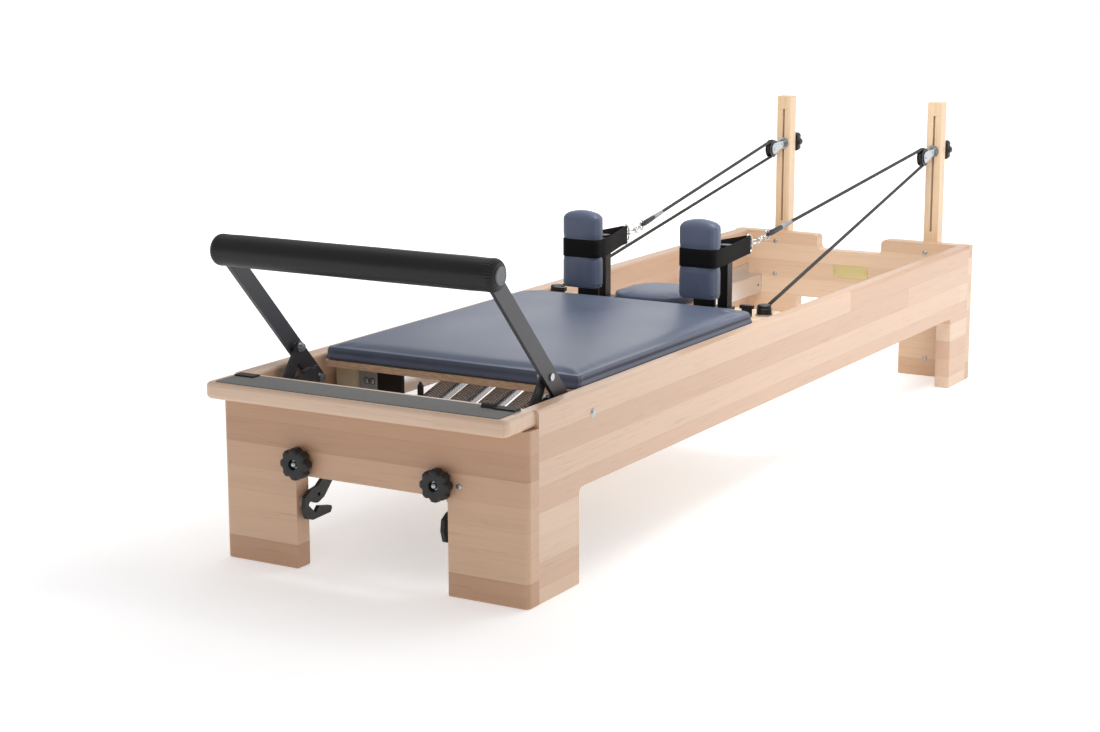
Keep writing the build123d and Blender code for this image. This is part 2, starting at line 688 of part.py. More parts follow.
# ---- carriage ----
with BuildPart() as carriage_board:
    length = carriage_back_y - carriage_front_y
    with BuildSketch(Plane.XY.offset(carriage_bottom)) as outline:
        with Locations((0, face_y + carriage_front_y + length / 2)):
            Rectangle(carriage_width, length)
        fillet(outline.vertices().group_by(Axis.Y)[-1], 30)
        fillet(outline.vertices().group_by(Axis.Y)[0], 6)
    extrude(amount=ply_thickness)
finish(carriage_board, "carriage_board")

with BuildPart() as carriage_cushion:
    length = cushion_back_y - carriage_front_y
    with BuildSketch(Plane.XY.offset(board_z)) as outline:
        with Locations((0, face_y + carriage_front_y + length / 2)):
            Rectangle(carriage_width, length)
        fillet(outline.vertices().group_by(Axis.Y)[-1], cushion_back_radius)
        fillet(outline.vertices().group_by(Axis.Y)[0], 12)
    extrude(amount=cushion_thickness)
    fillet(carriage_cushion.faces().sort_by(Axis.Z)[-1].edges(), 10)
finish(carriage_cushion, "carriage_cushion")

bracket_web_x = wheel_inner_x - 30.0
bracket_inner_x = bracket_web_x - 36.0
bracket_bottom = track_top + 14.0
guide_outer_x = wheel_inner_x + 24.0
guide_inner_x = wheel_inner_x - 22.0
with BuildPart() as wheel_brackets:
    for side, s in sides:
        for end, y in zip((-1, 1), wheel_ys):
            flange = y + end * 60
            web = (s * bracket_web_x, s * (bracket_web_x + bracket_wall))
            block(web, (flange, y - end * 40), (bracket_bottom, carriage_bottom))
            block((s * bracket_inner_x, s * (bracket_web_x + 1)), (flange, flange - end * bracket_wall),
                  (bracket_bottom, carriage_bottom))
            block((s * bracket_inner_x, s * (bracket_web_x + 1)), (flange, y - end * 40),
                  (carriage_bottom - bracket_wall, carriage_bottom))
            rod((s * (bracket_web_x - 2), y, axle_z), (s * (bracket_web_x + bracket_wall + 2), y, axle_z),
                axle_radius + 0.1, Mode.SUBTRACT)
finish(wheel_brackets, "wheel_brackets")

with BuildPart() as wheel_axles:
    for side, s in sides:
        for y in wheel_ys:
            rod((s * (bracket_web_x - 8), y, axle_z), (s * (wheel_inner_x + wheel_width + 2), y, axle_z), axle_radius)
            rod((s * (bracket_web_x - 7), y, axle_z), (s * bracket_web_x, y, axle_z), 8)
            rod((s * (bracket_web_x + bracket_wall), y, axle_z), (s * (wheel_inner_x - fit_gap), y, axle_z), 8)
finish(wheel_axles, "wheel_axles")

for end, y in zip(wheel_names, wheel_ys):
    for side, s in sides:
        with BuildPart() as wheel:
            inner, outer = s * wheel_inner_x, s * (wheel_inner_x + wheel_width)
            rod((inner, y, axle_z), (outer, y, axle_z), wheel_radius)
            fillet(wheel.edges(), 2)
            for face, depth in ((inner, s * 4), (outer, -s * 4)):
                rod((face - depth, y, axle_z), (face + depth, y, axle_z), wheel_radius - 6, Mode.SUBTRACT)
            rod((inner, y, axle_z), (outer, y, axle_z), 10)
            rod((inner - s, y, axle_z), (outer + s, y, axle_z), axle_radius + shaft_gap, Mode.SUBTRACT)
        finish(wheel, f"{end}_{side}_wheel")

guide_near = wheel_radius + guide_from_wheel
guide_far = guide_near + guide_length
with BuildPart() as guide_blocks:
    for side, s in sides:
        for end, y in zip((-1, 1), wheel_ys):
            block((s * guide_inner_x, s * guide_outer_x), (y + end * guide_near, y + end * guide_far),
                  (track_top + 10, carriage_bottom))
finish(guide_blocks, "guide_blocks")

with BuildPart() as carriage_stops:
    foot_stop = wheel_ys[0] - guide_far - fit_gap
    head_stop = wheel_ys[1] + guide_far + fit_gap + carriage_travel
    for side, s in sides:
        x = (s * (track_inner_x + 1), s * (track_inner_x + 27))
        z = (track_top + 0.1, track_top + 32)
        block(x, (foot_stop - stop_length, foot_stop), z)
        block(x, (head_stop, head_stop + stop_length), z)
finish(carriage_stops, "carriage_stops")

with BuildPart() as stop_plate:
    plate_x = (-bracket_inner_x + 1.5, -bracket_inner_x + 59.5)
    plate_y = wheel_ys[0] - 60
    block(plate_x, (plate_y, plate_y + 8), (bracket_bottom + 20, carriage_bottom - 0.1))
    block(plate_x, (plate_y, plate_y + 50), (carriage_bottom - 6, carriage_bottom))
finish(stop_plate, "stop_plate")

anchor_along = spring_first + spring_body + spring_end
with BuildPart() as spring_anchor:
    hook_y = on_spring(0, anchor_along)[1] + 2
    hook_z = on_spring(0, anchor_along)[2]
    half = spring_pitch * spring_count / 2
    block((-half, half), (hook_y, hook_y + 6), (hook_z - 12, carriage_bottom))
    block((-half, half), (hook_y, hook_y + 40), (carriage_bottom - 6, carriage_bottom))
finish(spring_anchor, "spring_anchor")

# ---- shoulder rests ----
plate_thickness = 6.0
with BuildPart() as shoulder_brackets:
    for side, s in sides:
        x = s * rest_x
        back = rest_front_y + rest_depth + fit_gap
        post_front = post_back_y - post_size
        block((x - 26, x + 26), (back, back + plate_thickness), (board_z, rest_bottom + rest_height - 20))
        block((x - 26, x + 26), (back, post_back_y + 4), (board_z, board_z + plate_thickness))
        block((x - 8, x + 8), (back + 1, post_front + 1), (strap_bottom + 10, strap_bottom + 30))
        block((s * post_x - post_size / 2, s * post_x + post_size / 2), (post_front, post_back_y),
              (board_z, strap_bottom + 34))
finish(shoulder_brackets, "shoulder_brackets")

with BuildPart() as shoulder_pads:
    waist_bottom, waist_top = strap_bottom - 1, strap_bottom + strap_height + 1
    rest_top = rest_bottom + rest_height
    for side, s in sides:
        for low, high, waist in ((rest_bottom, waist_bottom, 0), (waist_bottom, waist_top, rest_waist),
                                 (waist_top, rest_top, 0)):
            with BuildSketch(Plane.XY.offset(low)):
                with Locations((s * rest_x, face_y + rest_front_y + (rest_depth + waist) / 2)):
                    RectangleRounded(rest_width - 2 * waist, rest_depth - waist, 14)
            extrude(amount=high - low)
    fillet(shoulder_pads.faces().sort_by(Axis.Z)[-2:].edges(), 10)
finish(shoulder_pads, "shoulder_pads")


def strap_line(s):
    """The inside of a strap loop: round the front of the pad, then in to the D-ring."""
    x = s * rest_x
    half = rest_width / 2 - rest_waist + 0.6
    front = face_y + rest_front_y + rest_waist - 0.6
    back = face_y + rest_front_y + rest_depth + 4
    end_x, end = s * strap_end_x, face_y + strap_end_y
    with BuildSketch(Plane.XY.offset(strap_bottom)) as inside:
        with BuildLine():
            Polyline((x - half, front), (x + half, front), (x + half, back), (end_x + 5, end), (end_x - 5, end),
                     (x - half, back), close=True)
        make_face()
        fillet(inside.vertices().group_by(Axis.Y)[0], 13)
        fillet(inside.vertices().group_by(Axis.Y)[-1], 4)
    return inside.sketch


with BuildPart() as strap_loops:
    for side, s in sides:
        inside = strap_line(s)
        extrude(offset(inside, amount=strap_thickness, mode=Mode.PRIVATE), amount=strap_height)
        extrude(inside, amount=strap_height, mode=Mode.SUBTRACT)
finish(strap_loops, "strap_loops")

# ---- rings, hooks, sleeves and ropes ----
ring_half = strap_height / 2 + 2.5
with BuildPart() as d_rings:
    for side, s in sides:
        with BuildSketch(Plane.YZ.offset(s * strap_end_x)) as outline:
            wide = ring_half + ring_wire / 2
            depth = ring_end_y - ring_bar_y
            with Locations((face_y + (ring_bar_y + ring_end_y) / 2, strap_middle)):
                Rectangle(depth + ring_wire, 2 * wide)
            fillet(outline.vertices().group_by(Axis.X)[-1], 16)
            with BuildSketch(mode=Mode.SUBTRACT) as opening:
                with Locations((face_y + (ring_bar_y + ring_end_y) / 2, strap_middle)):
                    Rectangle(depth - ring_wire, 2 * wide - 2 * ring_wire)
                fillet(opening.vertices().group_by(Axis.X)[-1], 12)
        extrude(amount=ring_wire / 2, both=True)
finish(d_rings, "d_rings")


def rope_frame(s):
    """The D-ring's far end, and the direction in which the rope pulls away from it."""
    start = Vector(s * strap_end_x, ring_end_y, strap_middle)
    top = Vector(s * riser_x, sheave_y, sheave_z + rope_wrap_radius)
    return start, (top - start).normalized()


def along_rope(s, distance):
    start, pull = rope_frame(s)
    return tuple(start + pull * distance)


hook_ring = 13.0
eye_ring = 7.0
with BuildPart() as snap_hooks:
    for side, s in sides:
        start, pull = rope_frame(s)
        place = Plane(origin=start + Vector(0, face_y, 0), x_dir=pull, z_dir=pull.cross(Vector(s, 0, 0)) * s)
        flat = Plane(origin=place.origin, x_dir=pull, z_dir=pull.cross(place.z_dir))
        with BuildSketch(place):
            with Locations((hook_ring - 3, 0)):
                Circle(hook_ring + ring_wire)
                Circle(hook_ring, mode=Mode.SUBTRACT)
        extrude(amount=2, both=True)
        rod(along_rope(s, 2 * hook_ring - 1), along_rope(s, hook_length - 2 * eye_ring - 4), 5)
        with BuildSketch(flat):
            with Locations((hook_length - eye_ring - 3, 0)):
                Circle(eye_ring + 3.5)
                Circle(eye_ring, mode=Mode.SUBTRACT)
        extrude(amount=2, both=True)
finish(snap_hooks, "snap_hooks")

with BuildPart() as rope_sleeves:
    for side, s in sides:
        rod(along_rope(s, sleeve_start), along_rope(s, sleeve_stop), sleeve_radius)
        rod(along_rope(s, sleeve_start + 20), along_rope(s, sleeve_stop + 1), rope_diameter / 2 + 0.2, Mode.SUBTRACT)
finish(rope_sleeves, "rope_sleeves")

with BuildPart() as reel_rings:
    for side, s in sides:
        rod((s * reel_x, reel_y, board_z), (s * reel_x, reel_y, board_z + reel_ring_height), reel_radius + 3)
finish(reel_rings, "reel_rings")

with BuildPart() as rope_reels:
    for side, s in sides:
        low = board_z + reel_ring_height
        rod((s * reel_x, reel_y, low), (s * reel_x, reel_y, low + reel_height), reel_radius)
    fillet(rope_reels.edges().group_by(Axis.Z)[-1], 4)
finish(rope_reels, "rope_reels")

with BuildPart() as rope_cleats:
    for side, s in sides:
        x = s * cleat_x
        block((x - 9, x + 9), (cleat_y - 8, cleat_y + 8), (board_z, board_z + cleat_height - 8))
        block((x - 15, x + 15), (cleat_y - 6, cleat_y + 6),
              (board_z + cleat_height - 8, board_z + cleat_height))
finish(rope_cleats, "rope_cleats")

rope_wrap_points = 3
rope_end_gap = 1.2
for side, s in sides:
    x = s * riser_x
    reel_top = board_z + reel_ring_height + reel_height / 2
    begin = Vector(*along_rope(s, sleeve_start + 22))
    reel_centre = Vector(s * reel_x, reel_y, reel_top)
    upper = atan2(sheave_z + rope_wrap_radius - begin.Z, sheave_y - begin.Y)
    lower = atan2(sheave_z - rope_wrap_radius - reel_top, sheave_y - reel_y)
    first, last = pi / 2 + upper, -pi / 2 + lower
    step = (first - last) / rope_wrap_points
    reach = rope_wrap_radius / cos(step / 2)
    wrap = []
    for k in range(rope_wrap_points):
        a = first - (k + 0.5) * step
        wrap.append(Vector(x, sheave_y + reach * cos(a), sheave_z + reach * sin(a)))
    leave = (reel_centre - wrap[-1]).normalized()
    end = reel_centre - leave * (reel_radius + rope_end_gap)
    route = [begin, *wrap, end]
    route = [Vector(p.X, face_y + p.Y, p.Z) for p in route]
    with BuildPart() as rope:
        with BuildLine() as path:
            FilletPolyline(*route, radius=rope_wrap_radius * 0.97)
        with BuildSketch(Plane(origin=route[0], z_dir=route[1] - route[0])):
            Circle(rope_diameter / 2)
        sweep()
    finish(rope, f"{side}_rope")
    length = path.wire().length
    section = pi * rope_diameter ** 2 / 4
    print(side, "rope length", round(length, 1), "volume ratio", round(rope.part.volume / (section * length), 4))
    print("route", [tuple(round(c / 1000, 4) for c in p) for p in route])

# ---- headrest ----
hinge_y = headrest_front_y + 4.0
hinge_z = board_z + 8.0
headrest_z = board_z + 3.0
with BuildPart() as headrest_hinge:
    for x in ((-62, -42), (42, 62)):
        block(x, (hinge_y - headrest_knuckle_radius, hinge_y + headrest_knuckle_radius), (board_z, hinge_z))
        rod((x[0], hinge_y, hinge_z), (x[1], hinge_y, hinge_z), headrest_knuckle_radius)
    rod((-60, hinge_y, hinge_z), (60, hinge_y, hinge_z), headrest_hinge_radius)
finish(headrest_hinge, "headrest_hinge")

with BuildPart() as headrest_board:
    with BuildSketch(Plane.XY.offset(headrest_z)) as outline:
        with Locations((0, face_y + headrest_front_y + headrest_length / 2 + 2)):
            RectangleRounded(headrest_width - 12, headrest_length - 8, headrest_radius - 6)
    extrude(amount=headrest_board_thickness)
    for x in ((-63, -41), (41, 63)):
        block(x, (hinge_y - 9, hinge_y + 9), (headrest_z - 1, headrest_z + headrest_board_thickness + 1),
              Mode.SUBTRACT)
    rod((-40, hinge_y, hinge_z), (40, hinge_y, hinge_z), headrest_board_thickness / 2)
    rod((-64, hinge_y, hinge_z), (64, hinge_y, hinge_z), headrest_hinge_radius + shaft_gap, Mode.SUBTRACT)
finish(headrest_board, "headrest_board")

with BuildPart() as headrest_pad:
    with BuildSketch(Plane.XY.offset(headrest_z + headrest_board_thickness + 1)) as outline:
        with Locations((0, face_y + headrest_front_y + headrest_length / 2)):
            RectangleRounded(headrest_width, headrest_length, headrest_radius)
    extrude(amount=headrest_pad_thickness)
    fillet(headrest_pad.faces().sort_by(Axis.Z)[-1].edges(), 10)
finish(headrest_pad, "headrest_pad")
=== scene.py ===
import bpy
import bmesh
import math
from mathutils import Vector, Matrix, noise


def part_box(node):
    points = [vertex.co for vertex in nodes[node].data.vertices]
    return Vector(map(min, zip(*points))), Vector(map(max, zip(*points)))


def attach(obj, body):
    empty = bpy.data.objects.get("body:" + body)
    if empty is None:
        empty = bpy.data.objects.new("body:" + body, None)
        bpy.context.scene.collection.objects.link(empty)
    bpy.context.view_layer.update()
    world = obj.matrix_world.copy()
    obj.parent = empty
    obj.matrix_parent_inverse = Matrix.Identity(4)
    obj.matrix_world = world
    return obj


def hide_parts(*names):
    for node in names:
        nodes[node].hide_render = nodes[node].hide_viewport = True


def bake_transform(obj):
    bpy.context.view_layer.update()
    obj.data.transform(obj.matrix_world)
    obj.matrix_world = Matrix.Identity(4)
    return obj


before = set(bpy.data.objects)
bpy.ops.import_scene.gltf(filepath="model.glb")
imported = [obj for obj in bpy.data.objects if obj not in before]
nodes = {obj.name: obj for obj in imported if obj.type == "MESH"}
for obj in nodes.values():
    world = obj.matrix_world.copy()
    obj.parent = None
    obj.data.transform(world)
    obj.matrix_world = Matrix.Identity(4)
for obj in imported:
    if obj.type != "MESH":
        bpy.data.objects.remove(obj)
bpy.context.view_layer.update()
sides = (("left", -1), ("right", 1))
print("frame loaded")


def hexColour(text):  # sRGB hex to the linear numbers that shaders use
    raw = [int(text[i:i + 2], 16) / 255 for i in (1, 3, 5)]
    return tuple(v / 12.92 if v <= 0.04045 else ((v + 0.055) / 1.055) ** 2.4 for v in raw) + (1,)


def addNode(tree, kind, settings=None, links=None):  # one node, its settings and what feeds it
    node = tree.nodes.new(kind)
    for key, value in (settings or {}).items():
        if isinstance(key, str) and hasattr(node, key):
            setattr(node, key, value)
        else:
            node.inputs[key].default_value = value
    for key, socket in (links or {}).items():
        tree.links.new(socket, node.inputs[key])
    return node


def newMaterial(name, colour, roughness, metallic=0.0, **extra):
    material = bpy.data.materials.new(name)
    material.use_nodes = True
    tree = material.node_tree
    tree.nodes.clear()
    values = {"Base Color": hexColour(colour), "Roughness": roughness, "Metallic": metallic, **extra}
    shader = addNode(tree, "ShaderNodeBsdfPrincipled", values)
    addNode(tree, "ShaderNodeOutputMaterial", links={"Surface": shader.outputs[0]})
    return material, tree, shader


def addBump(tree, shader, height, strength, distance):
    bump = addNode(tree, "ShaderNodeBump", {"Strength": strength, "Distance": distance}, {"Height": height})
    tree.links.new(bump.outputs[0], shader.inputs["Normal"])
    return bump


# pattern coordinates, in metres times scale
def place(tree, scale=(1, 1, 1)):
    where = addNode(tree, "ShaderNodeTexCoord")
    mapping = addNode(tree, "ShaderNodeMapping", {"Scale": scale},
                      {"Vector": where.outputs["Object"]})
    return mapping.outputs[0]


def ramp(tree, source, stops):
    node = addNode(tree, "ShaderNodeValToRGB", links={"Fac": source})
    bar = node.color_ramp
    while len(bar.elements) < len(stops):
        bar.elements.new(0.5)
    for element, (at, colour) in zip(bar.elements, stops):
        element.position = at
        element.color = hexColour(colour)
    return node.outputs[0]


def dress(piece, material):  # the piece's only material
    piece.data.materials.clear()
    piece.data.materials.append(material)


def dressNode(name, material):
    for holder in nodes[name].material_slots:
        holder.material = material


def meshPiece(name, points, faces, material, smooth=True):
    mesh = bpy.data.meshes.new(name)
    mesh.from_pydata([tuple(p) for p in points], [], faces)
    piece = bpy.data.objects.new(name, mesh)
    bpy.context.collection.objects.link(piece)
    for polygon in mesh.polygons:
        polygon.use_smooth = smooth
    if material:
        dress(piece, material)
    return piece


def joinPieces(name, pieces):
    with bpy.context.temp_override(active_object=pieces[0], selected_editable_objects=pieces,
                                   object=pieces[0]):
        bpy.ops.object.join()
    pieces[0].name = name
    return pieces[0]


def dropMaps(pieces):  # pieces whose material doesn't use the map along a tube
    for piece in pieces:
        for layer in list(piece.data.uv_layers):
            piece.data.uv_layers.remove(layer)


def bakeModifiers(piece):  # the evaluated shape becomes the piece's own mesh
    bpy.context.view_layer.update()
    mesh = bpy.data.meshes.new_from_object(piece.evaluated_get(bpy.context.evaluated_depsgraph_get()))
    old = piece.data
    piece.modifiers.clear()
    piece.data = mesh
    bpy.data.meshes.remove(old)
    return piece


def faceOutward(piece):
    bm = bmesh.new()
    bm.from_mesh(piece.data)
    bmesh.ops.recalc_face_normals(bm, faces=bm.faces)
    bm.to_mesh(piece.data)
    bm.free()


def bridge(rings, around):  # faces between rings of vertices; a ring of one vertex closes an end
    faces = []
    for low, high in zip(rings, rings[1:]):
        for k in range(around):
            n = (k + 1) % around
            if len(low) == 1 and len(high) == 1:
                continue
            if len(low) == 1:
                faces.append((low[0], high[n], high[k]))
            elif len(high) == 1:
                faces.append((low[k], low[n], high[0]))
            else:
                faces.append((low[k], low[n], high[n], high[k]))
    return faces


def smoothByAngle(piece, degrees=35):
    mesh = piece.data
    bm = bmesh.new()
    bm.from_mesh(mesh)
    for edge in bm.edges:
        edge.smooth = len(edge.link_faces) == 2 and edge.calc_face_angle(0) < math.radians(degrees)
    for face in bm.faces:
        face.smooth = True
    bm.to_mesh(mesh)
    bm.free()
    return piece


def turnAlong(direction, up=(0, 0, 1)):  # a matrix whose X runs along direction
    x = Vector(direction).normalized()
    y = Vector(up).cross(x).normalized()
    z = x.cross(y)
    return Matrix((x, y, z)).transposed().to_4x4()


def tube(name, points, radius, material, closed=False, around=12):
    # a round bar along points, with parallel rings; the map runs along it in metres
    points = [Vector(p) for p in points]
    count = len(points)
    tangents = []
    for i in range(count):
        a = points[(i - 1) % count] if closed else points[max(i - 1, 0)]
        b = points[(i + 1) % count] if closed else points[min(i + 1, count - 1)]
        tangents.append((b - a).normalized())
    side = tangents[0].orthogonal().normalized()
    rings, verts = [], []
    for i in range(count):
        side = (side - tangents[i] * side.dot(tangents[i])).normalized()
        other = tangents[i].cross(side)
        rings.append(len(verts))
        for k in range(around):
            a = 2 * math.pi * k / around
            verts.append(points[i] + (side * math.cos(a) + other * math.sin(a)) * radius)
    faces = []
    spans = count if closed else count - 1
    shift = 0
    if closed:  # the last ring meets the first where its seam is nearest
        last = verts[rings[-1]]
        shift = min(range(around), key=lambda k: (verts[rings[0] + k] - last).length)
    for i in range(spans):
        j = (i + 1) % count
        turn = shift if j == 0 else 0
        for k in range(around):
            a, b = rings[i] + k, rings[i] + (k + 1) % around
            c, d = rings[j] + (k + 1 + turn) % around, rings[j] + (k + turn) % around
            faces.append((a, b, c, d))
    if not closed:
        faces.append(tuple(rings[0] + k for k in reversed(range(around))))
        faces.append(tuple(rings[-1] + k for k in range(around)))
    piece = meshPiece(name, verts, faces, material)
    if not closed:
        layer = piece.data.uv_layers.new(name="alongRope")
        length = [0.0]
        for i in range(1, count):
            length.append(length[-1] + (points[i] - points[i - 1]).length)
        for polygon in piece.data.polygons[:spans * around]:
            i, k = divmod(polygon.index, around)
            corners = ((k, length[i]), (k + 1, length[i]), (k + 1, length[i + 1]), (k, length[i + 1]))
            for loop, (u, v) in zip(polygon.loop_indices, corners):
                layer.data[loop].uv = (u / around, v)
        for polygon in piece.data.polygons[spans * around:]:
            polygon.use_smooth = False
    return piece


def lathe(name, profile, origin, axis, material, around=32, ripple=None):
    # turns (distance along, radius) pairs round an axis; a radius of 0 closes an end
    turn = turnAlong(axis, (0, 0, 1) if abs(Vector(axis).normalized().z) < 0.9 else (0, 1, 0))
    verts, rings = [], []
    for along, radius in profile:
        if radius <= 0:
            rings.append([len(verts)])
            verts.append(Vector((along, 0, 0)))
            continue
        ring = []
        for k in range(around):
            a = 2 * math.pi * k / around
            r = radius + (ripple(along, a, radius) if ripple else 0)
            ring.append(len(verts))
            verts.append(Vector((along, r * math.cos(a), r * math.sin(a))))
        rings.append(ring)
    origin = Vector(origin)
    piece = meshPiece(name, [origin + turn @ v for v in verts], bridge(rings, around), material)
    faceOutward(piece)
    return smoothByAngle(piece, 40)


def nodeBox(name, side=0):  # lowest and highest corner; side picks the left or right half of a mirrored node
    if not side:
        low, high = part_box(name)
        return Vector(low), Vector(high)
    points = [nodes[name].matrix_world @ v.co for v in nodes[name].data.vertices]
    points = [p for p in points if p.x * side > 0]
    return (Vector([min(p[i] for p in points) for i in range(3)]),
            Vector([max(p[i] for p in points) for i in range(3)]))


cameraSetup = {"lens": 71.5, "place": (2.233, -4.318, 1.212), "azimuth": 30.24, "drop": 11.74, "roll": -0.08}
cameraData = bpy.data.cameras.new("studioCamera")
cameraData.sensor_width = 36
cameraData.lens = cameraSetup["lens"]
cameraData.clip_end = 60
camera = bpy.data.objects.new("studioCamera", cameraData)
bpy.context.collection.objects.link(camera)
camera.location = cameraSetup["place"]
azimuth, drop = math.radians(cameraSetup["azimuth"]), math.radians(cameraSetup["drop"])
forward = Vector((-math.sin(azimuth) * math.cos(drop), math.cos(azimuth) * math.cos(drop), -math.sin(drop)))
aim = forward.to_track_quat("-Z", "Y")
tilt = Matrix.Rotation(math.radians(cameraSetup["roll"]), 3, "Z")
camera.rotation_euler = (aim.to_matrix() @ tilt).to_euler()
bpy.context.scene.camera = camera
print("camera set")


def mapleBoards(name, along, stack, stripHeight, offset, tones, seed):
    # steamed maple planks glued edge to edge and lacquered: pale bands of slightly different tone,
    # fine straight grain
    material, tree, shader = newMaterial(name, "#d9bb98", 0.38,
                                         **{"Coat Weight": 0.18, "Coat Roughness": 0.22})
    where = addNode(tree, "ShaderNodeTexCoord").outputs["Object"]
    parts = addNode(tree, "ShaderNodeSeparateXYZ", links={"Vector": where})
    stackAt = parts.outputs["XYZ".index(stack)]
    strip = addNode(tree, "ShaderNodeMath", {"operation": "MULTIPLY_ADD"}, {0: stackAt})
    strip.inputs[1].default_value = 1 / stripHeight
    strip.inputs[2].default_value = offset
    number = addNode(tree, "ShaderNodeMath", {"operation": "FLOOR"}, {0: strip.outputs[0]})
    edge = addNode(tree, "ShaderNodeMath", {"operation": "FRACT"}, {0: strip.outputs[0]})
    # each strip is made of shorter staves end to end
    alongAt = parts.outputs["XYZ".index(along)]
    stagger = addNode(tree, "ShaderNodeMath", {"operation": "MULTIPLY_ADD"},
                      {0: number.outputs[0], 2: alongAt})
    stagger.inputs[1].default_value = 0.37
    staves = addNode(tree, "ShaderNodeMath", {"operation": "MULTIPLY_ADD"}, {0: stagger.outputs[0]})
    staves.inputs[1].default_value = 1 / 2.9
    staves.inputs[2].default_value = 11.0
    stave = addNode(tree, "ShaderNodeMath", {"operation": "FLOOR"}, {0: staves.outputs[0]})
    pick = addNode(tree, "ShaderNodeCombineXYZ", {"Z": seed}, {"X": number.outputs[0], "Y": stave.outputs[0]})
    chance = addNode(tree, "ShaderNodeTexWhiteNoise", {"noise_dimensions": "3D"}, {"Vector": pick.outputs[0]})
    tone = ramp(tree, chance.outputs["Value"], [(0.0, tones[0]), (0.35, tones[1]), (0.7, tones[2]),
                                                (1.0, tones[3])])
    # grain: long thin figure, 2 to 6 mm wide and drawn out along the board, different in each strip
    stretch = [34.0, 34.0, 34.0]
    stretch["XYZ".index(along)] = 1.6
    shifted = addNode(tree, "ShaderNodeVectorMath", {"operation": "MULTIPLY_ADD"},
                      {0: chance.outputs["Color"], 2: where})
    shifted.inputs[1].default_value = (3.0, 3.0, 3.0)
    mapping = addNode(tree, "ShaderNodeMapping", {"Scale": stretch}, {"Vector": shifted.outputs[0]})
    figure = addNode(tree, "ShaderNodeTexNoise", {"Scale": 2.2, "Detail": 7.0, "Roughness": 0.62,
                                                  "Distortion": 0.8},
                     {"Vector": mapping.outputs[0]})
    figureTone = ramp(tree, figure.outputs["Fac"], [(0.30, "#d2d2d2"), (0.52, "#f4f4f4"), (0.72, "#ffffff")])
    grained = addNode(tree, "ShaderNodeMix", {"data_type": "RGBA", "blend_type": "MULTIPLY", "Factor": 0.24},
                      {"A": tone, "B": figureTone})
    fineStretch = [420.0, 420.0, 420.0]
    fineStretch["XYZ".index(along)] = 9.0
    fineMap = addNode(tree, "ShaderNodeMapping", {"Scale": fineStretch}, {"Vector": shifted.outputs[0]})
    pores = addNode(tree, "ShaderNodeTexNoise", {"Scale": 1.0, "Detail": 3.0, "Roughness": 0.6},
                    {"Vector": fineMap.outputs[0]})
    poreTone = ramp(tree, pores.outputs["Fac"], [(0.28, "#b79c80"), (0.40, "#ffffff")])
    flecked = addNode(tree, "ShaderNodeMix", {"data_type": "RGBA", "blend_type": "MULTIPLY", "Factor": 0.35},
                      {"A": grained.outputs["Result"], "B": poreTone})
    # glue line between strips, under half a millimetre
    glue = ramp(tree, edge.outputs[0], [(0.0, "#a58868"), (0.012, "#ffffff"), (0.988, "#ffffff"),
                                        (1.0, "#a58868")])
    glued = addNode(tree, "ShaderNodeMix", {"data_type": "RGBA", "blend_type": "MULTIPLY", "Factor": 0.30},
                    {"A": flecked.outputs["Result"], "B": glue})
    tree.links.new(glued.outputs["Result"], shader.inputs["Base Color"])
    rough = addNode(tree, "ShaderNodeMapRange", {"To Min": 0.34, "To Max": 0.46},
                    {"Value": figure.outputs["Fac"]})
    tree.links.new(rough.outputs[0], shader.inputs["Roughness"])
    addBump(tree, shader, pores.outputs["Fac"], 0.12, 0.0004)
    return material


mapleTones = ("#cba68a", "#d9b89d", "#e1c5ac", "#d2ad91")
# the foot board's tones are darker than the head board's: partly darker wood, partly painted shade from the
# standing platform's overhang
endMaple = mapleBoards("lacqueredMapleFootBoard", "X", "Z", 0.0465, 0.0,
                       ("#b88f70", "#c9a082", "#d8b496", "#c09878"), 1.0)
headMaple = mapleBoards("lacqueredMapleHeadBoard", "X", "Z", 0.0465, 0.0,
                        ("#cba585", "#d6b393", "#dfc0a2", "#cfaa8a"), 5.0)
railMaple = mapleBoards("lacqueredMapleRails", "Y", "Z", 0.0465, 0.35, mapleTones, 2.0)
platformMaple = mapleBoards("lacqueredMaplePlatform", "X", "Y", 0.052, 0.1, mapleTones, 3.0)
riserMaple = mapleBoards("lacqueredMapleRisers", "Z", "X", 0.060, 0.4,
                         ("#dcbc97", "#e2c5a2", "#e5caa9", "#debf9b"), 4.0)

# birch plywood, sanded edge: thin plies that alternate pale and brown
plywood, tree, shader = newMaterial("birchPlywood", "#b98a5e", 0.5)
layers = addNode(tree, "ShaderNodeTexWave", {"wave_type": "BANDS", "bands_direction": "Z", "Scale": 0.314,
                                             "Distortion": 0.6,
                                             "Detail": 2.0}, {"Vector": place(tree, (3, 3, 700))})
plyTone = ramp(tree, layers.outputs["Fac"], [(0.25, "#d0a681"), (0.55, "#ecc8a6"), (0.9, "#f2d6b8")])
streaks = addNode(tree, "ShaderNodeTexNoise", {"Scale": 60.0, "Detail": 4.0},
                  {"Vector": place(tree, (1, 1, 6))})
streakTone = ramp(tree, streaks.outputs["Fac"], [(0.35, "#c8c8c8"), (0.65, "#ffffff")])
plyMix = addNode(tree, "ShaderNodeMix", {"data_type": "RGBA", "blend_type": "MULTIPLY", "Factor": 0.6},
                 {"A": plyTone, "B": streakTone})
tree.links.new(plyMix.outputs["Result"], shader.inputs["Base Color"])
addBump(tree, shader, layers.outputs["Fac"], 0.15, 0.0004)


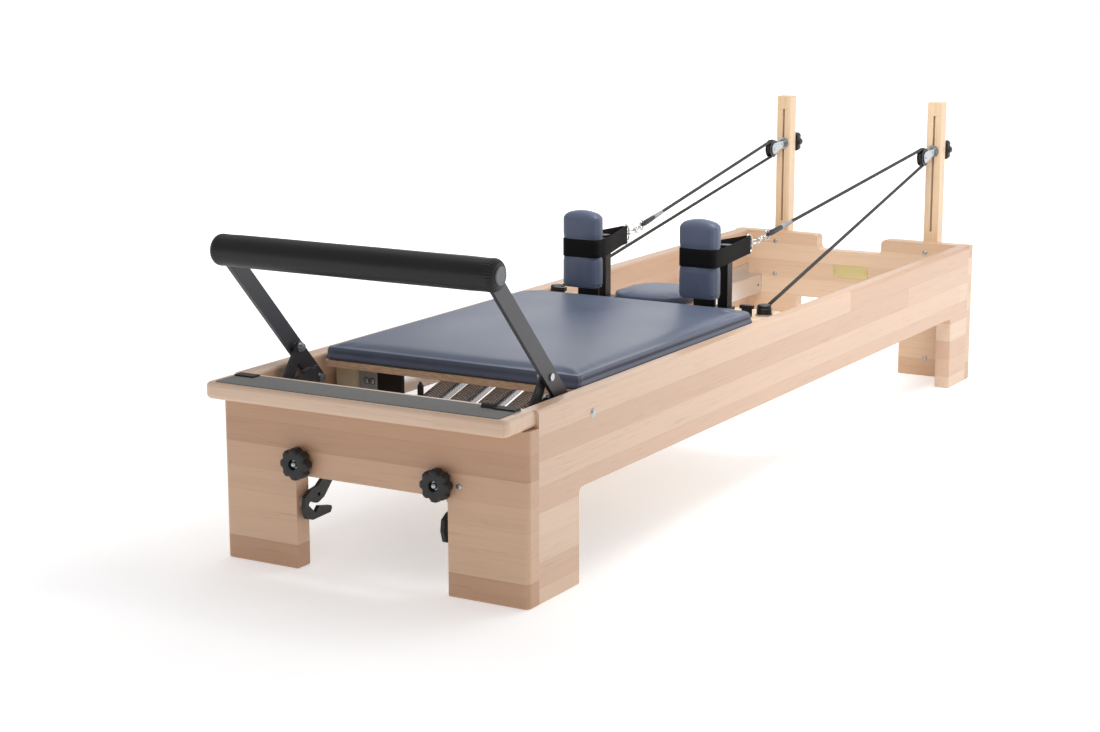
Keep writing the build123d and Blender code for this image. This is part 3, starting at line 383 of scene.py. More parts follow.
def coatedVinyl(name, colour, dark, light, roughness, grainSize, depth):
    # expanded vinyl on knitted backing: a matte sheen with a shallow pebbled grain, a touch lighter
    # in broad random patches
    material, tree, shader = newMaterial(
        name, colour, roughness,
        **{"Specular IOR Level": 0.35, "Sheen Weight": 0.03, "Sheen Roughness": 0.5})
    cells = addNode(tree, "ShaderNodeTexVoronoi", {"Scale": 1 / grainSize, "Randomness": 0.9,
                                                   "feature": "SMOOTH_F1"},
                    {"Vector": place(tree)})
    fine = addNode(tree, "ShaderNodeTexNoise", {"Scale": 3 / grainSize, "Detail": 3.0},
                   {"Vector": place(tree)})
    broad = addNode(tree, "ShaderNodeTexNoise", {"Scale": 6.0, "Detail": 3.0, "Roughness": 0.5},
                    {"Vector": place(tree)})
    tone = ramp(tree, broad.outputs["Fac"], [(0.3, dark), (0.7, light)])
    tree.links.new(tone, shader.inputs["Base Color"])
    relief = addNode(tree, "ShaderNodeMath", {"operation": "MULTIPLY_ADD"},
                     {0: cells.outputs["Distance"], 2: fine.outputs["Fac"]})
    relief.inputs[1].default_value = 0.8
    rough = addNode(tree, "ShaderNodeMapRange", {"From Min": 0.3, "From Max": 0.7, "To Min": roughness - 0.03,
                                                 "To Max": roughness + 0.05}, {"Value": broad.outputs["Fac"]})
    tree.links.new(rough.outputs[0], shader.inputs["Roughness"])
    addBump(tree, shader, relief.outputs[0], 0.25, depth)
    return material


slateVinyl = coatedVinyl("slateBlueVinyl", "#586176", "#545d71", "#5d667b", 0.38, 0.0016, 0.00012)
blackVinyl = coatedVinyl("blackGrainedVinyl", "#0d0e10", "#0b0c0e", "#101114", 0.42, 0.0014, 0.00014)


def paintedSteel(name, dark, light, roughness, dropSize):
    # baked powder coat: even colour with a faint orange peel
    material, tree, shader = newMaterial(name, light, roughness)
    peel = addNode(tree, "ShaderNodeTexNoise", {"Scale": 1 / dropSize, "Detail": 2.0},
                   {"Vector": place(tree)})
    broad = addNode(tree, "ShaderNodeTexNoise", {"Scale": 9.0, "Detail": 3.0}, {"Vector": place(tree)})
    tree.links.new(ramp(tree, broad.outputs["Fac"], [(0.3, dark), (0.7, light)]), shader.inputs["Base Color"])
    addBump(tree, shader, peel.outputs["Fac"], 0.18, 0.0002)
    return material


armPaint = paintedSteel("graphitePowderCoat", "#2f3035", "#36373c", 0.36, 0.0012)
blackPaint = paintedSteel("blackPowderCoat", "#0e0e0f", "#131314", 0.40, 0.0012)
greyPaint = paintedSteel("greyPowderCoat", "#8a8c90", "#95979b", 0.42, 0.0012)


def bareMetal(name, colour, roughness, grainAlong=None, grain=0.0006, spread=0.08):
    # bright metal: the roughness varies with handling and, when brushed, the scratches run one way
    material, tree, shader = newMaterial(name, colour, roughness, 1.0)
    stretch = [1 / grain] * 3
    if grainAlong:
        stretch["XYZ".index(grainAlong)] = 1 / grain / 60
    marks = addNode(tree, "ShaderNodeTexNoise", {"Scale": 1.0, "Detail": 4.0, "Roughness": 0.6},
                    {"Vector": place(tree, stretch)})
    broad = addNode(tree, "ShaderNodeTexNoise", {"Scale": 25.0, "Detail": 3.0}, {"Vector": place(tree)})
    mixed = addNode(tree, "ShaderNodeMath", {"operation": "MULTIPLY"},
                    {0: marks.outputs["Fac"], 1: broad.outputs["Fac"]})
    rough = addNode(tree, "ShaderNodeMapRange", {"From Min": 0.1, "From Max": 0.45,
                                                 "To Min": max(roughness - spread, 0.04),
                                                 "To Max": roughness + spread}, {"Value": mixed.outputs[0]})
    tree.links.new(rough.outputs[0], shader.inputs["Roughness"])
    addBump(tree, shader, marks.outputs["Fac"], 0.05 if not grainAlong else 0.10, 0.0001)
    return material


anodised = bareMetal("anodisedAluminium", "#e6e7e9", 0.38, "Y", 0.0005)
polishedSteel = bareMetal("polishedSpringSteel", "#b9babd", 0.16)
zincSteel = bareMetal("zincPlatedSteel", "#b4b8bc", 0.30)
nickel = bareMetal("nickelPlatedZinc", "#cfcfcd", 0.20)
paleBrass = bareMetal("brushedPaleBrass", "#dccb93", 0.38, "X", 0.0004)


def mouldedPlastic(name, dark, light, roughness, grain):
    # injection-moulded nylon: fine spark-eroded texture
    material, tree, shader = newMaterial(name, light, roughness)
    texture = addNode(tree, "ShaderNodeTexNoise", {"Scale": 1 / grain, "Detail": 3.0, "Roughness": 0.7},
                      {"Vector": place(tree)})
    broad = addNode(tree, "ShaderNodeTexNoise", {"Scale": 30.0, "Detail": 2.0}, {"Vector": place(tree)})
    tree.links.new(ramp(tree, broad.outputs["Fac"], [(0.3, dark), (0.7, light)]), shader.inputs["Base Color"])
    addBump(tree, shader, texture.outputs["Fac"], 0.2, 0.00015)
    return material


knobPlastic = mouldedPlastic("mouldedBlackNylon", "#141415", "#1b1b1c", 0.45, 0.0010)
guideNylon = mouldedPlastic("castNaturalNylon", "#c9bda4", "#d8cdb6", 0.55, 0.0020)
wheelUrethane = mouldedPlastic("blackUrethane", "#1c1c1e", "#252527", 0.5, 0.0015)
bumperRubber = mouldedPlastic("mouldedBlackRubber", "#19191a", "#202021", 0.62, 0.0012)
sleeveBlack = mouldedPlastic("blackShrinkTube", "#1a1a1b", "#242426", 0.38, 0.0020)
sleeveGrey = mouldedPlastic("greyShrinkTube", "#85868a", "#97989c", 0.42, 0.0020)
discGrey = mouldedPlastic("greyEndCap", "#66686b", "#74767a", 0.45, 0.0020)

# grit-topped rubber strip: 1.2 mm grit drawn coarse enough to read
gripRubber, tree, shader = newMaterial("grittyGripRubber", "#787876", 0.82)
grit = addNode(tree, "ShaderNodeTexVoronoi", {"Scale": 1 / 0.0016, "Randomness": 1.0},
               {"Vector": place(tree)})
gritTone = ramp(tree, grit.outputs["Distance"], [(0.15, "#8b8b88"), (0.55, "#6d6d6b")])
tree.links.new(gritTone, shader.inputs["Base Color"])
addBump(tree, shader, grit.outputs["Distance"], 0.5, 0.0003)

# braided polyester cover: two sets of yarns cross at 45 degrees, 2.6 mm apart
braid, tree, shader = newMaterial("braidedPolyesterRope", "#3d3e42", 0.72,
                                  **{"Sheen Weight": 0.10, "Sheen Roughness": 0.4})
mapped = addNode(tree, "ShaderNodeUVMap", {"uv_map": "alongRope"})
parts = addNode(tree, "ShaderNodeSeparateXYZ", links={"Vector": mapped.outputs[0]})
waves = []
for slant in (1, -1):
    lean = addNode(tree, "ShaderNodeMath", {"operation": "MULTIPLY"}, {0: parts.outputs["Y"]})
    lean.inputs[1].default_value = slant / 0.0210
    turn = addNode(tree, "ShaderNodeMath", {"operation": "ADD"}, {0: parts.outputs["X"], 1: lean.outputs[0]})
    angle = addNode(tree, "ShaderNodeMath", {"operation": "MULTIPLY"}, {0: turn.outputs[0]})
    angle.inputs[1].default_value = 8 * 2 * math.pi
    waves.append(addNode(tree, "ShaderNodeMath", {"operation": "SINE"}, {0: angle.outputs[0]}))
crossed = addNode(tree, "ShaderNodeMath", {"operation": "MAXIMUM"},
                  {0: waves[0].outputs[0], 1: waves[1].outputs[0]})
# painted shade: the gaps between the yarns are painted darker than the raised yarns
yarnToneWithGapShade = ramp(tree, crossed.outputs[0], [(0.0, "#121111"), (0.55, "#211f1e"), (1.0, "#32302e")])
tree.links.new(yarnToneWithGapShade, shader.inputs["Base Color"])
addBump(tree, shader, crossed.outputs[0], 0.6, 0.0005)

# flat nylon webbing: ribs across the band, 1.6 mm apart, and a tight selvedge
webbing, tree, shader = newMaterial("blackNylonWebbing", "#0a0a0b", 0.75,
                                    **{"Specular IOR Level": 0.2, "Sheen Weight": 0.0,
                                       "Sheen Roughness": 0.4})
mapped = addNode(tree, "ShaderNodeUVMap", {"uv_map": "alongBand"})
rib = addNode(tree, "ShaderNodeTexWave", {"wave_type": "BANDS", "bands_direction": "X",
                                          "Scale": 0.314 / 0.0016},
              {"Vector": mapped.outputs[0]})
across = addNode(tree, "ShaderNodeTexWave", {"wave_type": "BANDS", "bands_direction": "Y",
                                             "Scale": 0.314 / 0.0030},
                 {"Vector": mapped.outputs[0]})
weave = addNode(tree, "ShaderNodeMath", {"operation": "MULTIPLY"},
                {0: rib.outputs["Fac"], 1: across.outputs["Fac"]})
# painted shade: the grooves between the ribs are painted darker than the ribs
tree.links.new(ramp(tree, weave.outputs[0], [(0.0, "#040404"), (1.0, "#0b0b0c")]),
               shader.inputs["Base Color"])
addBump(tree, shader, weave.outputs[0], 0.5, 0.0004)

# spun polyester thread
thread, tree, shader = newMaterial("polyesterThread", "#2b2d33", 0.6)
twist = addNode(tree, "ShaderNodeTexNoise", {"Scale": 900.0}, {"Vector": place(tree)})
tree.links.new(ramp(tree, twist.outputs["Fac"], [(0.3, "#23252a"), (0.7, "#3a3d45")]),
               shader.inputs["Base Color"])
print("materials made")

ropeSizes = {"diameter": 0.008, "length": 1.958}
ropeStops = [(0.165, 0.2633, 0.4923), (0.2121, 1.0298, 0.6031), (0.215, 1.0777, 0.6100),
             (0.215, 1.0931, 0.5911),
             (0.215, 1.0848, 0.5682), (0.2170, 1.0377, 0.5592), (0.2612, 0.0141, 0.3614)]


def ropeLine(side):  # points read from the route's own spline
    curve = bpy.data.curves.new("ropeRoute", "CURVE")
    curve.dimensions = "3D"
    curve.resolution_u = 24
    spline = curve.splines.new("NURBS")
    spline.points.add(len(ropeStops) - 1)
    for point, (x, y, z) in zip(spline.points, ropeStops):
        point.co = (side * x, y, z, 1)
    spline.order_u = 3
    spline.use_endpoint_u = True
    holder = bpy.data.objects.new("ropeRoute", curve)
    bpy.context.collection.objects.link(holder)
    bpy.context.view_layer.update()
    mesh = bpy.data.meshes.new_from_object(holder.evaluated_get(bpy.context.evaluated_depsgraph_get()))
    line = [v.co.copy() for v in mesh.vertices]
    bpy.data.objects.remove(holder)
    bpy.data.meshes.remove(mesh)
    return line


ropeStart = {}
for name, side in sides:
    line = ropeLine(side)
    ropeStart[name] = line[0]
    rope = tube(f"{name}BraidedRope", line, ropeSizes["diameter"] / 2, braid, around=14)
    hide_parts(f"{name}_rope")
    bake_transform(rope)
print("ropes laid")

finishes = {
    "foot_end_board": endMaple, "head_end_board": headMaple, "left_side_rail": railMaple,
    "right_side_rail": railMaple,
    "standing_platform": platformMaple, "pulley_risers": riserMaple, "grip_strip": gripRubber,
    "tracks": anodised,
    "footbar_bumpers": bumperRubber, "carriage_stops": bumperRubber, "gear_brackets": blackPaint,
    "center_post": blackPaint, "spring_bar": zincSteel, "footbar_arms": armPaint, "footbar_racks": armPaint,
    "left_strut": armPaint, "right_strut": armPaint, "strut_bolts": zincSteel, "pivot_bolts": zincSteel,
    "left_foot_knob": knobPlastic, "right_foot_knob": knobPlastic, "left_riser_knob": knobPlastic,
    "right_riser_knob": knobPlastic, "left_sheave": knobPlastic, "right_sheave": knobPlastic,
    "eyebolts": zincSteel,
    "pulley_cheeks": zincSteel, "carriage_board": plywood, "headrest_board": plywood,
    "wheel_brackets": greyPaint,
    "wheel_axles": zincSteel, "foot_left_wheel": wheelUrethane, "foot_right_wheel": wheelUrethane,
    "head_left_wheel": wheelUrethane, "head_right_wheel": wheelUrethane, "guide_blocks": guideNylon,
    "stop_plate": blackPaint, "spring_anchor": greyPaint, "shoulder_brackets": blackPaint,
    "rope_cleats": knobPlastic,
    "rope_reels": knobPlastic, "reel_rings": zincSteel, "headrest_hinge": greyPaint, "name_plate": paleBrass,
    "frame_screws": zincSteel, "footbar_tube": discGrey,
}
for name, material in finishes.items():
    dressNode(name, material)
print("plain parts dressed")


def newGroup(name, inputs, output):  # an empty geometry node group with named sockets
    tree = bpy.data.node_groups.new(name, "GeometryNodeTree")
    for label, kind in inputs.items():
        tree.interface.new_socket(label, in_out="INPUT", socket_type=f"NodeSocket{kind}")
    tree.interface.new_socket(output, in_out="OUTPUT", socket_type="NodeSocketGeometry")
    return tree


def setInputs(modifier, values):  # by each socket's identifier
    sockets = modifier.node_group.interface.items_tree
    known = {item.name: item.identifier for item in sockets if item.in_out == "INPUT"}
    for label, value in values.items():
        modifier[known[label]] = value


def repeatTree():  # puts a copy of one shape on each point, turned by the point's own turn attribute
    tree = newGroup("copiesOnPoints", {"Points": "Geometry", "Shape": "Object", "Size": "Float",
                                       "Finish": "Material"},
                    "Copies")
    given = addNode(tree, "NodeGroupInput")
    shape = addNode(tree, "GeometryNodeObjectInfo", links={"Object": given.outputs["Shape"]})
    turn = addNode(tree, "GeometryNodeInputNamedAttribute", {"data_type": "FLOAT_VECTOR", "Name": "turn"})
    size = addNode(tree, "ShaderNodeCombineXYZ", links={axis: given.outputs["Size"] for axis in "XYZ"})
    rotation = addNode(tree, "FunctionNodeEulerToRotation", links={0: turn.outputs["Attribute"]})
    copies = addNode(tree, "GeometryNodeInstanceOnPoints", links={
        "Points": given.outputs["Points"], "Instance": shape.outputs["Geometry"],
        "Rotation": rotation.outputs[0],
        "Scale": size.outputs[0]})
    real = addNode(tree, "GeometryNodeRealizeInstances", links={"Geometry": copies.outputs[0]})
    finish = addNode(tree, "GeometryNodeSetMaterial",
                     links={"Geometry": real.outputs[0], "Material": given.outputs["Finish"]})
    addNode(tree, "NodeGroupOutput", links={"Copies": finish.outputs[0]})
    return tree


copiesTree = repeatTree()


def repeatShape(name, shape, spots, size, material):
    # spots are (place, direction of the shape's X) pairs; the shape itself is used up
    mesh = bpy.data.meshes.new(name)
    mesh.from_pydata([tuple(p) for p, _ in spots], [], [])
    turns = mesh.attributes.new("turn", "FLOAT_VECTOR", "POINT")
    for i, (_, direction) in enumerate(spots):
        up = (0, 0, 1) if abs(Vector(direction).normalized().z) < 0.9 else (0, 1, 0)
        turns.data[i].vector = turnAlong(direction, up).to_euler()
    piece = bpy.data.objects.new(name, mesh)
    bpy.context.collection.objects.link(piece)
    modifier = piece.modifiers.new("copies", "NODES")
    modifier.node_group = copiesTree
    setInputs(modifier, {"Shape": shape, "Size": size, "Finish": material})
    bakeModifiers(piece)
    return piece


def useUp(shape):
    bpy.data.objects.remove(shape)


# a domed head with a hexagonal socket on a washer, pointing along X, one unit in head radius
def socketScrew(name):
    profile = [(-0.25, 0.0), (-0.25, 1.38), (-0.03, 1.38), (0.0, 1.34), (0.0, 1.0), (0.12, 0.99),
               (0.30, 0.86),
               (0.44, 0.62), (0.46, 0.44)]
    verts, rings = [], []
    around = 24
    for along, radius in profile:
        if radius == 0:
            rings.append([len(verts)])
            verts.append((along, 0, 0))
            continue
        rings.append([len(verts) + k for k in range(around)])
        for k in range(around):
            a = 2 * math.pi * k / around
            verts.append((along, radius * math.cos(a), radius * math.sin(a)))
    for depth in (0.46, 0.16):  # the socket's rim and its floor follow a hexagon
        rings.append([len(verts) + k for k in range(around)])
        for k in range(around):
            a = 2 * math.pi * k / around
            flat = 0.36 / math.cos((a % (math.pi / 3)) - math.pi / 6)
            verts.append((depth, flat * math.cos(a), flat * math.sin(a)))
    rings.append([len(verts)])
    verts.append((0.14, 0, 0))
    screw = meshPiece(name, verts, bridge(rings, around), zincSteel)
    faceOutward(screw)
    return smoothByAngle(screw, 38)


screwSizes = {"frame": 0.0062, "bracket": 0.0052, "plate": 0.0016}
riserBox = [nodeBox("pulley_risers", side) for _, side in sides]
footFace = nodeBox("foot_end_board")[0].y
headInside = nodeBox("head_end_board")[0].y
footKnob = {name: nodeBox(f"{name}_foot_knob") for name, _ in sides}
screw = socketScrew("screwShape")
spots = []
for (name, side), (low, high) in zip(sides, riserBox):
    middle = (low.x + high.x) / 2
    knobMiddle = (footKnob[name][0] + footKnob[name][1]) / 2
    spots.append(((knobMiddle.x + side * 0.038, footFace + 0.0002, knobMiddle.z - 0.002), (0, -1, 0)))
    for z in (low.z + 0.036, low.z + 0.126):
        spots.append(((middle, headInside + 0.0002, z), (0, -1, 0)))
    spots.append(((middle + side * 0.010, headInside + 0.0002, 0.048), (0, -1, 0)))
frameScrews = repeatShape("frameScrewHeads", screw, spots, screwSizes["frame"], zincSteel)
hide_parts("frame_screws")
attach(frameScrews, "frame")

platLow, platHigh = nodeBox("name_plate")
rivetSpots = [((x, platLow.y, (platLow.z + platHigh.z) / 2), (0, -1, 0))
              for x in (platLow.x + 0.005, platHigh.x - 0.005)]
plateRivets = repeatShape("namePlatePins", screw, rivetSpots, screwSizes["plate"], paleBrass)
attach(plateRivets, "frame")

wheelBox = {key: nodeBox(key) for key in ("foot_left_wheel", "foot_right_wheel", "head_left_wheel",
                                          "head_right_wheel")}
bracketSpots = []
for key, (low, high) in wheelBox.items():
    side = -1 if "left" in key else 1
    end = -1 if key.startswith("foot") else 1
    bracketLow, bracketHigh = nodeBox("wheel_brackets", side)
    middle = (low + high) / 2
    flangeY = middle.y + end * 0.060
    for x in (bracketLow.x + 0.012 if side > 0 else bracketHigh.x - 0.012, middle.x - side * 0.052):
        bracketSpots.append(((x, flangeY, middle.z + 0.034), (0, end, 0)))
bracketScrews = repeatShape("bracketScrewHeads", screw, bracketSpots, screwSizes["bracket"], zincSteel)
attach(bracketScrews, "carriage")
useUp(screw)
print("screws set")

springSizes = {"wire": 0.0046, "coilRadius": 0.0175, "turns": 62, "roundSteps": 20, "slope": 14.7,
               "length": 0.400,
               "barRadius": 0.010, "fromBar": 0.032, "frontHook": 0.010, "backHook": 0.034}


def coilTree():
    tree = newGroup("coilSpring", {"Turns": "Float", "Radius": "Float", "Length": "Float", "Wire": "Float",
                                   "Finish": "Material"}, "Coil")
    given = addNode(tree, "NodeGroupInput")
    spiral = addNode(tree, "GeometryNodeCurveSpiral", {"Resolution": springSizes["roundSteps"]}, {
        "Rotations": given.outputs["Turns"], "Start Radius": given.outputs["Radius"],
        "End Radius": given.outputs["Radius"], "Height": given.outputs["Length"]})
    section = addNode(tree, "GeometryNodeCurvePrimitiveCircle", {"Resolution": 8})
    half = addNode(tree, "ShaderNodeMath", {"operation": "MULTIPLY", 1: 0.5}, {0: given.outputs["Wire"]})
    tree.links.new(half.outputs[0], section.inputs["Radius"])
    coil = addNode(tree, "GeometryNodeCurveToMesh", {"Fill Caps": True},
                   {"Curve": spiral.outputs[0], "Profile Curve": section.outputs[0]})
    soft = addNode(tree, "GeometryNodeSetShadeSmooth", links={"Geometry": coil.outputs[0]})
    real = addNode(tree, "GeometryNodeRealizeInstances", links={"Geometry": soft.outputs[0]})
    finish = addNode(tree, "GeometryNodeSetMaterial",
                     links={"Geometry": real.outputs[0], "Material": given.outputs["Finish"]})
    addNode(tree, "NodeGroupOutput", links={"Coil": finish.outputs[0]})
    return tree


springTree = coilTree()
slope = math.radians(springSizes["slope"])
run = Vector((0, math.cos(slope), math.sin(slope)))
up = Vector((0, -math.sin(slope), math.cos(slope)))
length = springSizes["length"]
for number in (1, 2, 3, 4):
    low, high = nodeBox(f"spring_{number}")
    x = (low.x + high.x) / 2
    barLow = nodeBox("spring_bar")[0]
    barCentre = Vector((x, barLow.y + springSizes["barRadius"], barLow.z + springSizes["barRadius"]))
    start = barCentre + run * springSizes["fromBar"]
    piece = bpy.data.objects.new(f"coilSpring{number}", bpy.data.meshes.new(f"coilSpring{number}"))
    bpy.context.collection.objects.link(piece)
    modifier = piece.modifiers.new("coil", "NODES")
    modifier.node_group = springTree
    setInputs(modifier, {"Turns": float(springSizes["turns"]), "Radius": springSizes["coilRadius"],
                         "Length": length, "Wire": springSizes["wire"], "Finish": polishedSteel})
    bakeModifiers(piece)
    # the coil is made upright: lay it along the spring's line
    lay = Matrix.Translation(start) @ turnAlong(run).to_4x4() @ Matrix.Rotation(math.pi / 2, 4, "Y")
    piece.data.transform(lay)
    faceOutward(piece)
    hooks = []
    for end, sign in ((start, -1), (start + run * length, 1)):
        reach = springSizes["frontHook"] if sign < 0 else springSizes["backHook"]
        path = [end + up * springSizes["coilRadius"]]
        path += [end + up * (springSizes["coilRadius"] * math.cos(t)) + run * (sign * 0.006 * math.sin(t))
                 for t in (0.4, 0.8, 1.2, 1.5)]
        path.append(end + run * sign * reach)
        hooks.append(tube(f"springEnd{number}", path, springSizes["wire"] / 2, polishedSteel, around=10))
        collar = [(0, 0), (0, 0.0062), (0.010, 0.0062), (0.012, 0.0045), (0.012, 0)]
        hooks.append(lathe(f"springCollar{number}", collar, end + run * sign * (reach - 0.012), run * sign,
                           zincSteel, 20))
    dropMaps(hooks)
    spring = joinPieces(f"coilSpring{number}", [piece] + hooks)
    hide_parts(f"spring_{number}")
    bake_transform(spring)
print("springs wound")


def closedPad(name, outline, low, high, edge, material, rings=5):
    # a closed form from an outline: bottom, upright side, rounded upper edge and a filled top
    centre = sum((Vector((p[0], p[1], 0)) for p in outline), Vector()) / len(outline)
    layers = [(0.0, low), (0.0, (low + high) / 2)]
    for k in range(rings + 1):
        a = math.pi / 2 * k / rings
        layers.append((edge * (1 - math.cos(a)), high - edge * (1 - math.sin(a))))
    verts, faces = [], []
    count = len(outline)
    for inset, z in layers:
        for p in outline:
            point = Vector((p[0], p[1], 0))
            pull = (centre - point).normalized() * inset
            verts.append((point.x + pull.x, point.y + pull.y, z))
    for layer in range(len(layers) - 1):
        for k in range(count):
            n = (k + 1) % count
            a, b = layer * count, (layer + 1) * count
            faces.append((a + k, a + n, b + n, b + k))
    faces.append(tuple(reversed(range(count))))
    faces.append(tuple((len(layers) - 1) * count + k for k in range(count)))
    return meshPiece(name, verts, faces, material)


def roundedOutline(x0, x1, y0, y1, radii, steps=10):
    # corners in the order left foot, right foot, right head, left head
    points = []
    corners = ((x0, y0, math.pi), (x1, y0, 1.5 * math.pi), (x1, y1, 0), (x0, y1, 0.5 * math.pi))
    for (x, y, start), r in zip(corners, radii):
        cx = x + (r if x == x0 else -r)
        cy = y + (r if y == y0 else -r)
        for k in range(steps + 1):
            a = start + math.pi / 2 * k / steps
            points.append((cx + r * math.cos(a), cy + r * math.sin(a)))
    return points


def plump(piece, voxel, pressure, cap, frames=20, hold=None, levels=1):
    # voxel skin, then a short cloth run with air pressure; no point moves further than cap allows
    remesh = piece.modifiers.new("skin", "REMESH")
    remesh.mode = "VOXEL"
    remesh.voxel_size = voxel
    bakeModifiers(piece)
    rest = [v.co.copy() for v in piece.data.vertices]
    group = piece.vertex_groups.new(name="held")
    for vertex in piece.data.vertices:
        if hold and hold(vertex.co):
            group.add([vertex.index], 1.0, "REPLACE")
    cloth = piece.modifiers.new("cloth", "CLOTH")
    cloth.settings.use_pressure = True
    cloth.settings.uniform_pressure_force = pressure
    cloth.settings.effector_weights.gravity = 0
    cloth.settings.tension_stiffness = 30
    cloth.settings.compression_stiffness = 30
    cloth.settings.bending_stiffness = 8
    if hold:
        cloth.settings.vertex_group_mass = "held"
    cloth.point_cache.frame_start = 1
    cloth.point_cache.frame_end = frames
    for step in range(1, frames + 1):
        bpy.context.scene.frame_set(step)
    bakeModifiers(piece)
    bpy.context.scene.frame_set(1)
    piece.vertex_groups.clear()
    for vertex, start in zip(piece.data.vertices, rest):
        move = vertex.co - start
        if move.length > cap:
            vertex.co = start + move * (cap / move.length)
    for _ in range(3):  # takes out the voxel steps
        bm = bmesh.new()
        bm.from_mesh(piece.data)
        bmesh.ops.smooth_vert(bm, verts=bm.verts, factor=0.5, use_axis_x=True, use_axis_y=True,
                              use_axis_z=True)
        bm.to_mesh(piece.data)
        bm.free()
    if levels:
        finer = piece.modifiers.new("finer", "SUBSURF")
        finer.levels = levels
        finer.render_levels = levels
        bakeModifiers(piece)
    for polygon in piece.data.polygons:
        polygon.use_smooth = True
    return piece


def fitBox(piece, low, high):  # scales the finished shape into its space
    lo = [min(v.co[i] for v in piece.data.vertices) for i in range(3)]
    hi = [max(v.co[i] for v in piece.data.vertices) for i in range(3)]
    for vertex in piece.data.vertices:
        for i in range(3):
            t = (vertex.co[i] - lo[i]) / (hi[i] - lo[i])
            vertex.co[i] = low[i] + t * (high[i] - low[i])


def bell(value, width):  # 1 at 0, fading to 0 at width
    t = min(abs(value) / width, 1.0)
    return (1 - t * t) ** 2


cushionShape = {"tuckBack": 0.015, "crown": 0.008, "creaseHeight": 0.013, "creaseDepth": 0.0022,
                "edge": 0.012}
low, high = nodeBox("carriage_cushion")
inner = 0.004
outline = roundedOutline(low.x + inner, high.x - inner, low.y + inner, high.y - inner,
                         (0.012, 0.012, 0.036, 0.036))
cushion = closedPad("carriageCushion", outline, low.z + 0.002, high.z - 0.003, cushionShape["edge"],
                    slateVinyl)
plump(cushion, 0.006, 3.0, 0.006, hold=lambda p: p.z < low.z + 0.006)
high.y += cushionShape["tuckBack"]
fitBox(cushion, low + Vector((0.001, 0.001, 0.0)), high - Vector((0.001, 0.001, 0.0)))
middle = (low + high) / 2
halfX, halfY = (high.x - low.x) / 2, (high.y - low.y) / 2
for vertex in cushion.data.vertices:
    p = vertex.co
    u, v = (p.x - middle.x) / halfX, (p.y - middle.y) / halfY
    rise = p.z - low.z
    if rise > 0.026:  # the top falls a little towards its edges
        p.z -= cushionShape["crown"] * (1 - (1 - u ** 4) * (1 - v ** 4)) * min((rise - 0.026) / 0.008, 1)
    sideways = max(abs(u), abs(v))
    if rise < 0.034 and sideways > 0.93:  # a soft crease all round where the vinyl turns under
        dent = cushionShape["creaseDepth"] * bell(rise - cushionShape["creaseHeight"], 0.007)
        wave = 0.0006 * noise.noise(Vector((p.x * 14, p.y * 14, rise * 60)))
        outward = Vector((u ** 9, v ** 9, 0))
        if outward.length > 1e-6:
            outward.normalize()
            p.x -= outward.x * (dent + wave)
            p.y -= outward.y * (dent + wave)
    # gathered folds where the cover is pulled round the two front corners
    for side in (-1, 1):
        corner = Vector((middle.x + side * halfX, low.y, 0))
        away = Vector((p.x, p.y, 0)) - corner
        if away.length < 0.075 and rise < 0.036:
            a = math.atan2(away.y, away.x * -side)
            fold = (math.sin(a * 9 + rise * 50) * 0.0016 * (1 - away.length / 0.075)
                    * bell(rise - 0.016, 0.022))
            if away.length > 1e-5:
                p.x -= away.normalized().x * fold
                p.y -= away.normalized().y * fold
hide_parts("carriage_cushion")
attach(cushion, "carriage")
print("carriage cushion filled")

restShape = {"waist": 0.0045, "waistHeight": 0.034, "crown": 0.010}
strapBox = nodeBox("strap_loops")
strapMiddle = (strapBox[0].z + strapBox[1].z) / 2
for name, side in sides:
    low, high = nodeBox("shoulder_pads", side)
    inner = 0.003
    outline = roundedOutline(low.x + inner, high.x - inner, low.y + inner, high.y - inner, (0.014,) * 4, 8)
    pad = closedPad(f"{name}ShoulderPad", outline, low.z + 0.003, high.z - 0.006, 0.012, slateVinyl)
    plump(pad, 0.0036, 4.0, 0.0045)
    fitBox(pad, low, high + Vector((0, 0, 0.006)))
    middle = (low + high) / 2
    halfX, halfY, halfZ = (high - low) / 2
    for vertex in pad.data.vertices:
        p = vertex.co
        u, v, w = (p.x - middle.x) / halfX, (p.y - middle.y) / halfY, (p.z - middle.z) / halfZ
        pinch = restShape["waist"] * bell(p.z - strapMiddle, restShape["waistHeight"])
        near = max(abs(u), abs(v))
        if near > 0.5:
            p.x -= u * pinch
            p.y -= v * pinch * 0.8
        if w > 0.7:  # domed top
            p.z -= restShape["crown"] * (u * u * 0.75 + v * v * 0.55) * (w - 0.7) / 0.3
        if w < -0.9:
            p.x -= u * 0.002
        # long soft pull lines under the band
        if -0.85 < w < 0.05 and v < -0.6:
            uneven = 0.6 + 0.4 * noise.noise(Vector((u * 2, w * 2, side)))
            p.y += 0.0007 * math.sin(u * 9 + 2.2 * w) * bell(w + 0.4, 0.5) * uneven
        # upright seam just round the front right edge
        seam = bell(u - 0.93, 0.05) * (1 if v > -0.8 else 0)
        p.x -= 0.0011 * seam * (1 if abs(w) < 0.93 else 0)
    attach(pad, "carriage")
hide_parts("shoulder_pads")

low, high = nodeBox("headrest_pad")
outline = roundedOutline(low.x + 0.003, high.x - 0.003, low.y + 0.003, high.y - 0.003, (0.058,) * 4, 12)
headPad = closedPad("headrestPad", outline, low.z + 0.002, high.z - 0.004, 0.011, slateVinyl)
plump(headPad, 0.004, 3.5, 0.005, hold=lambda p: p.z < low.z + 0.004)
fitBox(headPad, low, high)
middle = (low + high) / 2
for vertex in headPad.data.vertices:
    p = vertex.co
    reach = math.hypot((p.x - middle.x) / (high.x - low.x), (p.y - middle.y) / (high.y - low.y)) * 2
    if p.z > low.z + 0.018:
        p.z -= 0.004 * min(reach, 1) ** 3
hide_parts("headrest_pad")
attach(headPad, "headrest")
print("pads filled")

